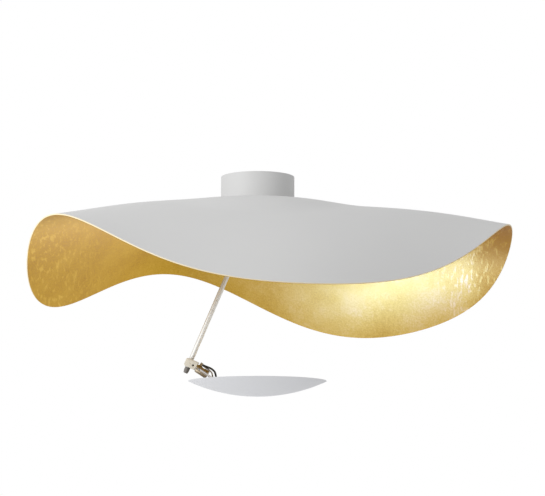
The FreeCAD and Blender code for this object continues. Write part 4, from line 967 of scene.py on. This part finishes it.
@dataclass
class RoundRows:
    """A small piece repeated round one or two circles, each a count and a radius, and turned to face
    outwards."""
    node: str
    finish: Finishes
    centre: Vector
    outer: tuple[int, float]
    inner: tuple[int, float] = (0, 0.0)

    TREE = "round_rows"
    SOCKETS = (("Geometry", "Geometry"), ("Outer Count", "Int"), ("Outer Radius", "Float"),
               ("Inner Count", "Int"), ("Inner Radius", "Float"), ("Centre", "Vector"),
               ("Piece", "Object"), ("Finish", "Material"))

    def build(self, piece: Mesh) -> None:
        """Repeats a piece and lets it stand for the node.

        Args:
            piece: the piece, around its own vertical axis.
        """
        pattern = new_object(self.node + "_pattern", piece)
        obj = new_object(self.node + "_row", bpy.data.meshes.new(self.node + "_row"))
        modifier = obj.modifiers.new("rows", "NODES")
        modifier.node_group = bpy.data.node_groups.get(self.TREE) or self.tree()
        set_inputs(modifier, {
            "Outer Count": self.outer[0], "Outer Radius": self.outer[1],
            "Inner Count": self.inner[0], "Inner Radius": self.inner[1],
            "Centre": list(self.centre), "Piece": pattern, "Finish": self.finish.made})
        bake_modifiers(obj)
        bpy.data.objects.remove(pattern)
        smooth(obj.data)
        finish_piece(obj, self.node)

    def tree(self) -> Tree:
        """Makes the tree that sets a piece on two circles of points.

        Returns:
            The tree.
        """
        tree = bpy.data.node_groups.new(self.TREE, "GeometryNodeTree")
        for name, kind in self.SOCKETS:
            tree.interface.new_socket(name, in_out="INPUT", socket_type="NodeSocket" + kind)
        tree.interface.new_socket("Geometry", in_out="OUTPUT", socket_type="NodeSocketGeometry")
        given = add_node(tree, "NodeGroupInput").outputs
        both = add_node(tree, "GeometryNodeJoinGeometry")
        for row in ("Outer", "Inner"):
            circle = self.circle(tree, given[row + " Count"], given[row + " Radius"])
            tree.links.new(circle, both.inputs[0])
        place = add_node(tree, "GeometryNodeInputPosition").outputs[0]
        spot = add_node(tree, "ShaderNodeSeparateXYZ", {0: place}).outputs
        outward = add_node(tree, "ShaderNodeMath", {0: spot[1], 1: spot[0]}, operation="ARCTAN2")
        facing = add_node(tree, "ShaderNodeCombineXYZ", {2: outward.outputs[0]})
        piece = add_node(tree, "GeometryNodeObjectInfo", {"Object": given["Piece"]})
        copies = add_node(tree, "GeometryNodeInstanceOnPoints", {
            "Points": both.outputs[0], "Instance": piece.outputs["Geometry"],
            "Rotation": facing.outputs[0]})
        moved = add_node(tree, "GeometryNodeTranslateInstances", {
            "Instances": copies.outputs[0], "Translation": given["Centre"], "Local Space": False})
        whole = add_node(tree, "GeometryNodeRealizeInstances", {"Geometry": moved.outputs[0]})
        dressed = add_node(tree, "GeometryNodeSetMaterial", {
            "Geometry": whole.outputs[0], "Material": given["Finish"]})
        add_node(tree, "NodeGroupOutput", {0: dressed.outputs[0]})
        return tree

    @staticmethod
    def circle(tree: Tree, count: Socket, radius: Socket) -> Socket:
        """Adds even points round a circle about the vertical axis.

        Args:
            tree: the tree that gets the nodes.
            count: how many points.
            radius: the circle's radius.
        Returns:
            The points.
        """
        index = add_node(tree, "GeometryNodeInputIndex").outputs[0]
        share = add_node(tree, "ShaderNodeMath", {0: index, 1: count}, operation="DIVIDE")
        angle = add_node(tree, "ShaderNodeMath", {0: share.outputs[0], 1: math.tau},
                         operation="MULTIPLY")
        cosine = add_node(tree, "ShaderNodeMath", {0: angle.outputs[0]}, operation="COSINE")
        sine = add_node(tree, "ShaderNodeMath", {0: angle.outputs[0]}, operation="SINE")
        way = add_node(tree, "ShaderNodeCombineXYZ", {0: cosine.outputs[0], 1: sine.outputs[0]})
        place = add_node(tree, "ShaderNodeVectorMath", {0: way.outputs[0], "Scale": radius},
                         operation="SCALE")
        return add_node(tree, "GeometryNodePoints", {"Count": count,
                                                     "Position": place.outputs[0]}).outputs[0]


# light, floor and camera

class Reach(Enum):
    """What a lamp's light falls on, each with the way that the leaf is linked to it."""
    EVERYTHING = "NONE"
    ALL_BUT_LEAF = "EXCLUDE"
    LEAF_ALONE = "INCLUDE"


@dataclass(frozen=True)
class SoftLamp:
    """A square soft box that faces a target and is itself out of the picture: metres, watts, degrees."""
    name: str
    place: tuple[float, float, float]
    target: tuple[float, float, float]
    size: float
    power: float
    spread: float = 180.0
    colour: str = "#FFFFFF"
    reach: Reach = Reach.EVERYTHING

    def build(self) -> Object:
        """Makes the lamp.

        Returns:
            The lamp.
        """
        lamp = bpy.data.lights.new(self.name, "AREA")
        lamp.size = self.size
        lamp.energy = self.power
        lamp.spread = math.radians(self.spread)
        lamp.color = linear(self.colour)[:3]
        obj = new_object(self.name, lamp)
        obj.location = self.place
        facing = Vector(self.target) - Vector(self.place)
        obj.rotation_euler = facing.to_track_quat("-Z", "Y").to_euler()
        obj.visible_camera = False
        return obj


@dataclass
class Studio:
    """Plain soft light, a pale floor and the camera at the photograph's angle."""
    image_width: int = 545
    focal_pixels: float = 1951.0
    sensor: float = 36.0
    eye: tuple[float, float, float] = (18.45 * MM, -2400 * MM, -430 * MM)
    pitch: float = 8.089
    grey_light: float = 0.52
    floor_half: float = 4.0
    floor_height: float = -3.2
    lamps: dict[SoftLamp, Object] = field(default_factory=dict)

    # gold turns the blue of the two glows into the cream band in the right lobe
    LAMPS = (
        SoftLamp("key_left", (-1.3, -1.15, 0.7), (0, 0, -0.1), 0.9, 17),
        SoftLamp("fill_low_left", (-1.3, -0.6, -0.8), (0, 0, -0.2), 0.8, 8, reach=Reach.ALL_BUT_LEAF),
        SoftLamp("floor_wash", (0, 0, -2.7), (0, 0, -3.2), 7.0, 55),
        SoftLamp("card_low_back", (0.03, 0.87, -0.43), (-0.23, -0.02, -0.08), 0.25, 0.009, 30),
        SoftLamp("glow_under_middle", (-0.1, 0.23, -0.5), (0.12, 0.19, -0.11), 0.2, 0.62, 64, "#3A51FF",
                 Reach.LEAF_ALONE),
        SoftLamp("glow_under_right", (0.015, 0.15, -0.455), (0.22, 0.13, -0.12), 0.1, 0.7, 64, "#3A51FF",
                 Reach.LEAF_ALONE),
    )

    def build(self) -> None:
        """Builds the world, the lamps, the floor and the camera."""
        scene = bpy.context.scene
        scene.view_settings.view_transform = "Standard"
        scene.world = self.world()
        self.lamps = {lamp: lamp.build() for lamp in self.LAMPS}
        self.floor()
        scene.camera = self.camera()

    def world(self) -> bpy.types.World:
        """Makes a world that is white to the camera and in a gloss, and an even grey light elsewhere.

        Returns:
            The world.
        """
        world = bpy.data.worlds.new("studio")
        world.use_nodes = True
        tree = world.node_tree
        tree.nodes.clear()
        path = add_node(tree, "ShaderNodeLightPath").outputs
        seen = path["Is Camera Ray"]
        for kind in ("Is Glossy Ray", "Is Transmission Ray"):
            either = add_node(tree, "ShaderNodeMath", {0: seen, 1: path[kind]}, operation="MAXIMUM")
            seen = either.outputs[0]
        white, light = (add_node(tree, "ShaderNodeBackground", {"Color": linear("#FFFFFF"),
                                                                "Strength": strength})
                        for strength in (1.0, self.grey_light))
        mixed = add_node(tree, "ShaderNodeMixShader", {0: seen, 1: light.outputs[0],
                                                       2: white.outputs[0]})
        add_node(tree, "ShaderNodeOutputWorld", {"Surface": mixed.outputs[0]})
        return world

    def share_light(self, leaf: Object) -> None:
        """Keeps the low fill off the leaf, and lets the two glows fall on it alone.

        Args:
            leaf: the gold leaf.
        """
        for reach in (Reach.LEAF_ALONE, Reach.ALL_BUT_LEAF):
            group = bpy.data.collections.new("light_" + reach.name.lower())
            group.objects.link(leaf)
            group.collection_objects[0].light_linking.link_state = reach.value
            for lamp, obj in self.lamps.items():
                if lamp.reach is reach:
                    obj.light_linking.receiver_collection = group

    def floor(self) -> None:
        """Lays a pale floor, a high room's height below the ceiling, which keeps the lamp's shadow."""
        work = bmesh.new()
        bmesh.ops.create_grid(work, x_segments=1, y_segments=1, size=self.floor_half)
        bmesh.ops.translate(work, verts=work.verts, vec=(0, 0, self.floor_height))
        mesh = mesh_of(work, bpy.data.meshes.new("floor"))
        mesh.materials.append(FadingFloor("floor_pale_matt", "#F2F2F0").material())
        new_object("floor", mesh)

    def camera(self) -> Object:
        """Sets up the photograph's camera.

        Returns:
            The camera.
        """
        data = bpy.data.cameras.new("photo_camera")
        data.sensor_width = self.sensor
        data.lens = self.focal_pixels / self.image_width * self.sensor
        obj = new_object("photo_camera", data)
        obj.location = self.eye
        obj.rotation_euler = (math.radians(90 + self.pitch), 0, 0)
        return obj


# the lamp's other groups of pieces

@dataclass
class CeilingCup:
    """The white cup, and the plate, driver and fixing that it hides."""
    edge: float = 0.3 * MM

    def build(self) -> None:
        """Dresses the cup and all that is in it."""
        machined_copy("canopy_cup", Finishes.WHITE_PAINT, self.edge)
        machined_copy("centre_bush", Finishes.POLISHED_BRASS, self.edge)
        dress(Finishes.ZINC, "ceiling_plate", "cup_screws", "driver_screws", "nut_washer", "ring_nut")
        dress(Finishes.RUBBER, "cable_grommet", "cup_gasket")
        dress(Finishes.WHITE_PLASTIC, "led_driver", "terminal_block")
        dress(Finishes.POLISHED_BRASS, "terminal_screws")


@dataclass
class LeaningArm:
    """The rod with its swivelling socket and its grey end cap."""
    edge: float = 0.4 * MM
    rod_edge: float = 0.1 * MM

    def build(self) -> None:
        """Dresses the arm."""
        machined_copy("rod_socket", Finishes.NICKEL, self.edge)
        machined_copy("rod", Finishes.NICKEL, self.rod_edge)
        machined_copy("rod_end_cap", Finishes.GREY_PLASTIC, self.edge, FULL_ROUND)
        dress(Finishes.NYLON, "swivel_washer")
        dress(Finishes.ZINC, "wave_washer", "spigot_nut", "rod_screw")
        dress(Finishes.BLACK_PVC, "rod_lead")


@dataclass
class RodClamp:
    """The pale clamp on the rod, and the darker fork in it."""
    edge: float = 0.5 * MM
    fork_edge: float = 0.2 * MM
    small_edge: float = 0.15 * MM

    def build(self) -> None:
        """Dresses the clamp and the fork."""
        machined_copy("clamp_block", Finishes.PALE_BRASS, self.edge, FULL_ROUND)
        machined_copy("tilt_fork", Finishes.DARK_BRASS, self.fork_edge)
        machined_copy("fork_washer", Finishes.BRIGHT_STEEL, self.small_edge)
        machined_copy("pivot_screw", Finishes.DARK_BRASS, self.small_edge)
        dress(Finishes.NYLON, "rod_sleeve")
        dress(Finishes.ZINC, "clamp_screw")
        dress(Finishes.BLACK_STEEL, "fork_screw")


@dataclass
class LightDisc:
    """The shallow white disc with the light engine under its opal window."""
    edge: float = 0.35 * MM
    lug_edge: float = 0.3 * MM
    small_edge: float = 0.2 * MM
    lug_thickness: float = 2.4 * MM
    ring_thickness: float = 1.5 * MM
    # screws and LEDs: how many on a circle, and its radius
    ring_screws: tuple[int, float] = (3, 48.33 * MM)
    lug_screws: tuple[int, float] = (2, 2.75 * MM)
    outer_leds: tuple[int, float] = (16, 28 * MM)
    inner_leds: tuple[int, float] = (8, 16 * MM)
    lug_screws_middle: float = -45.02 * MM
    board_top: float = -5.4 * MM
    ring_screw: PanHeadScrew = PanHeadScrew("m3_pan_head", 1.45 * MM, 9 * MM, 2.75 * MM, 1.8 * MM,
                                            1.0 * MM)
    lug_screw: PanHeadScrew = PanHeadScrew("m2_5_pan_head", 1.2 * MM, lug_thickness + ring_thickness,
                                           2.2 * MM, 1.6 * MM, 0.75 * MM)
    led: LedPackage = LedPackage()

    def build(self) -> None:
        """Dresses the disc and sets its screws and LEDs."""
        # the disc's pieces take the white paint's brighter, bluer copy, which is painted light
        machined_copy("disc_bowl", Finishes.COOL_PAINT, self.edge, FULL_ROUND)
        machined_copy("top_ring", Finishes.COOL_PAINT, self.small_edge)
        machined_copy("disc_lug", Finishes.COOL_PAINT, self.lug_edge)
        machined_copy("lead_grommets", Finishes.RUBBER, self.small_edge)
        machined_copy("diffuser", Finishes.OPAL, self.small_edge)
        dress(Finishes.BOARD, "led_board")
        dress(Finishes.ALUMINIUM, "heat_spreader", "spacers")
        dress(Finishes.ZINC, "centre_stud", "centre_nut")
        self.rows()

    def rows(self) -> None:
        """Sets the ring's screws, the lug's screws and the LEDs."""
        ring = RoundRows("ring_screws", Finishes.ZINC, FRAMES.disc, self.ring_screws)
        ring.build(self.ring_screw.mesh())
        seat = FRAMES.disc + Vector((self.lug_screws_middle, 0, self.lug_thickness))
        lug = RoundRows("lug_screws", Finishes.BRIGHT_STEEL, seat, self.lug_screws)
        lug.build(self.lug_screw.mesh())
        board = FRAMES.disc + Vector((0, 0, self.board_top))
        leds = RoundRows("led_chips", Finishes.PHOSPHOR, board, self.outer_leds, self.inner_leds)
        leds.build(self.led.mesh())


@dataclass(frozen=True)
class Lead:
    """A short lead: how far along the fork it runs straight, where it lies behind and square to the
    fork, and its crest and its entry into the disc, right of, behind and below the clamp's middle."""
    node: str
    finish: Finishes
    radius: float
    straight_to: float
    on_fork: tuple[float, float]
    crest: tuple[float, float, float]
    entry: tuple[float, float, float]


@dataclass
class DiscLeads:
    """The two short leads that loop from the fork's nozzle into the disc."""
    nozzle_floor: float = 12.3 * MM
    nozzle_mouth: float = 14.55 * MM
    inside: float = 16 * MM
    sides: int = 4
    steps: int = 16
    order: int = 3
    end_angle: float = 60.0

    LEADS = (
        Lead("black_lead", Finishes.BLACK_PVC, 1.25 * MM, 15.3 * MM, (0, 6.9 * MM),
             (28.3 * MM, 4 * MM, 6.5 * MM), (33 * MM, 12 * MM, 12.9 * MM)),
        Lead("grey_lead", Finishes.GREY_PVC, 0.9 * MM, 18.6 * MM, (3 * MM, 6.6 * MM),
             (24.5 * MM, 4 * MM, 8.1 * MM), (29 * MM, 7.6 * MM, 12.9 * MM)),
    )

    def build(self) -> None:
        """Builds both leads, which bend between the fork and the disc."""
        for lead in self.LEADS:
            mesh = self.tube(lead)
            piece = new_object(lead.node + "_jacket", mesh)
            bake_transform(piece, "fork", "disc", start=FRAMES.from_fork(self.nozzle_mouth, 0, 0),
                     end=FRAMES.from_clamp(*lead.entry))
            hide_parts(lead.node)
            LOG.info("%s: %d faces, fork to disc", piece.name, len(mesh.polygons))

    def route(self, lead: Lead) -> list[Vector]:
        """Lists a lead's control points, from the fork's nozzle into the disc.

        Args:
            lead: the lead.
        Returns:
            The points.
        """
        right, back, down = lead.entry
        return [FRAMES.from_fork(self.nozzle_floor, *lead.on_fork),
                FRAMES.from_fork(lead.straight_to, *lead.on_fork),
                FRAMES.from_clamp(*lead.crest),
                FRAMES.from_clamp(right, back, down),
                FRAMES.from_clamp(right, back, down + self.inside)]

    def tube(self, lead: Lead) -> Mesh:
        """Makes a lead's jacket, a smooth round tube along its route.

        Args:
            lead: the lead.
        Returns:
            The mesh, in the jacket's finish.
        """
        route = self.route(lead)
        curve = bpy.data.curves.new(lead.node + "_route", "CURVE")
        curve.dimensions = "3D"
        curve.bevel_depth = lead.radius
        curve.bevel_resolution = self.sides
        curve.resolution_u = self.steps
        curve.use_fill_caps = True
        spline = curve.splines.new("NURBS")
        spline.points.add(len(route) - 1)
        for point, place in zip(spline.points, route):
            point.co = (*place, 1.0)
        spline.order_u = self.order
        spline.use_endpoint_u = True
        drawn = new_object(lead.node + "_route", curve)
        mesh = evaluated_mesh(drawn)
        bpy.data.objects.remove(drawn)
        mesh.name = lead.node + "_jacket"
        mesh.materials.clear()
        mesh.materials.append(lead.finish.made)
        smooth(mesh, self.end_angle)
        return mesh


def main() -> None:
    """Builds the studio and dresses the lamp, from the ceiling down."""
    logging.basicConfig(level=logging.INFO, format="%(message)s")
    studio = Studio()
    studio.build()
    CeilingCup().build()
    studio.share_light(WaveReflector().build())
    LeaningArm().build()
    RodClamp().build()
    LightDisc().build()
    DiscLeads().build()


if __name__ == "__main__":
    main()
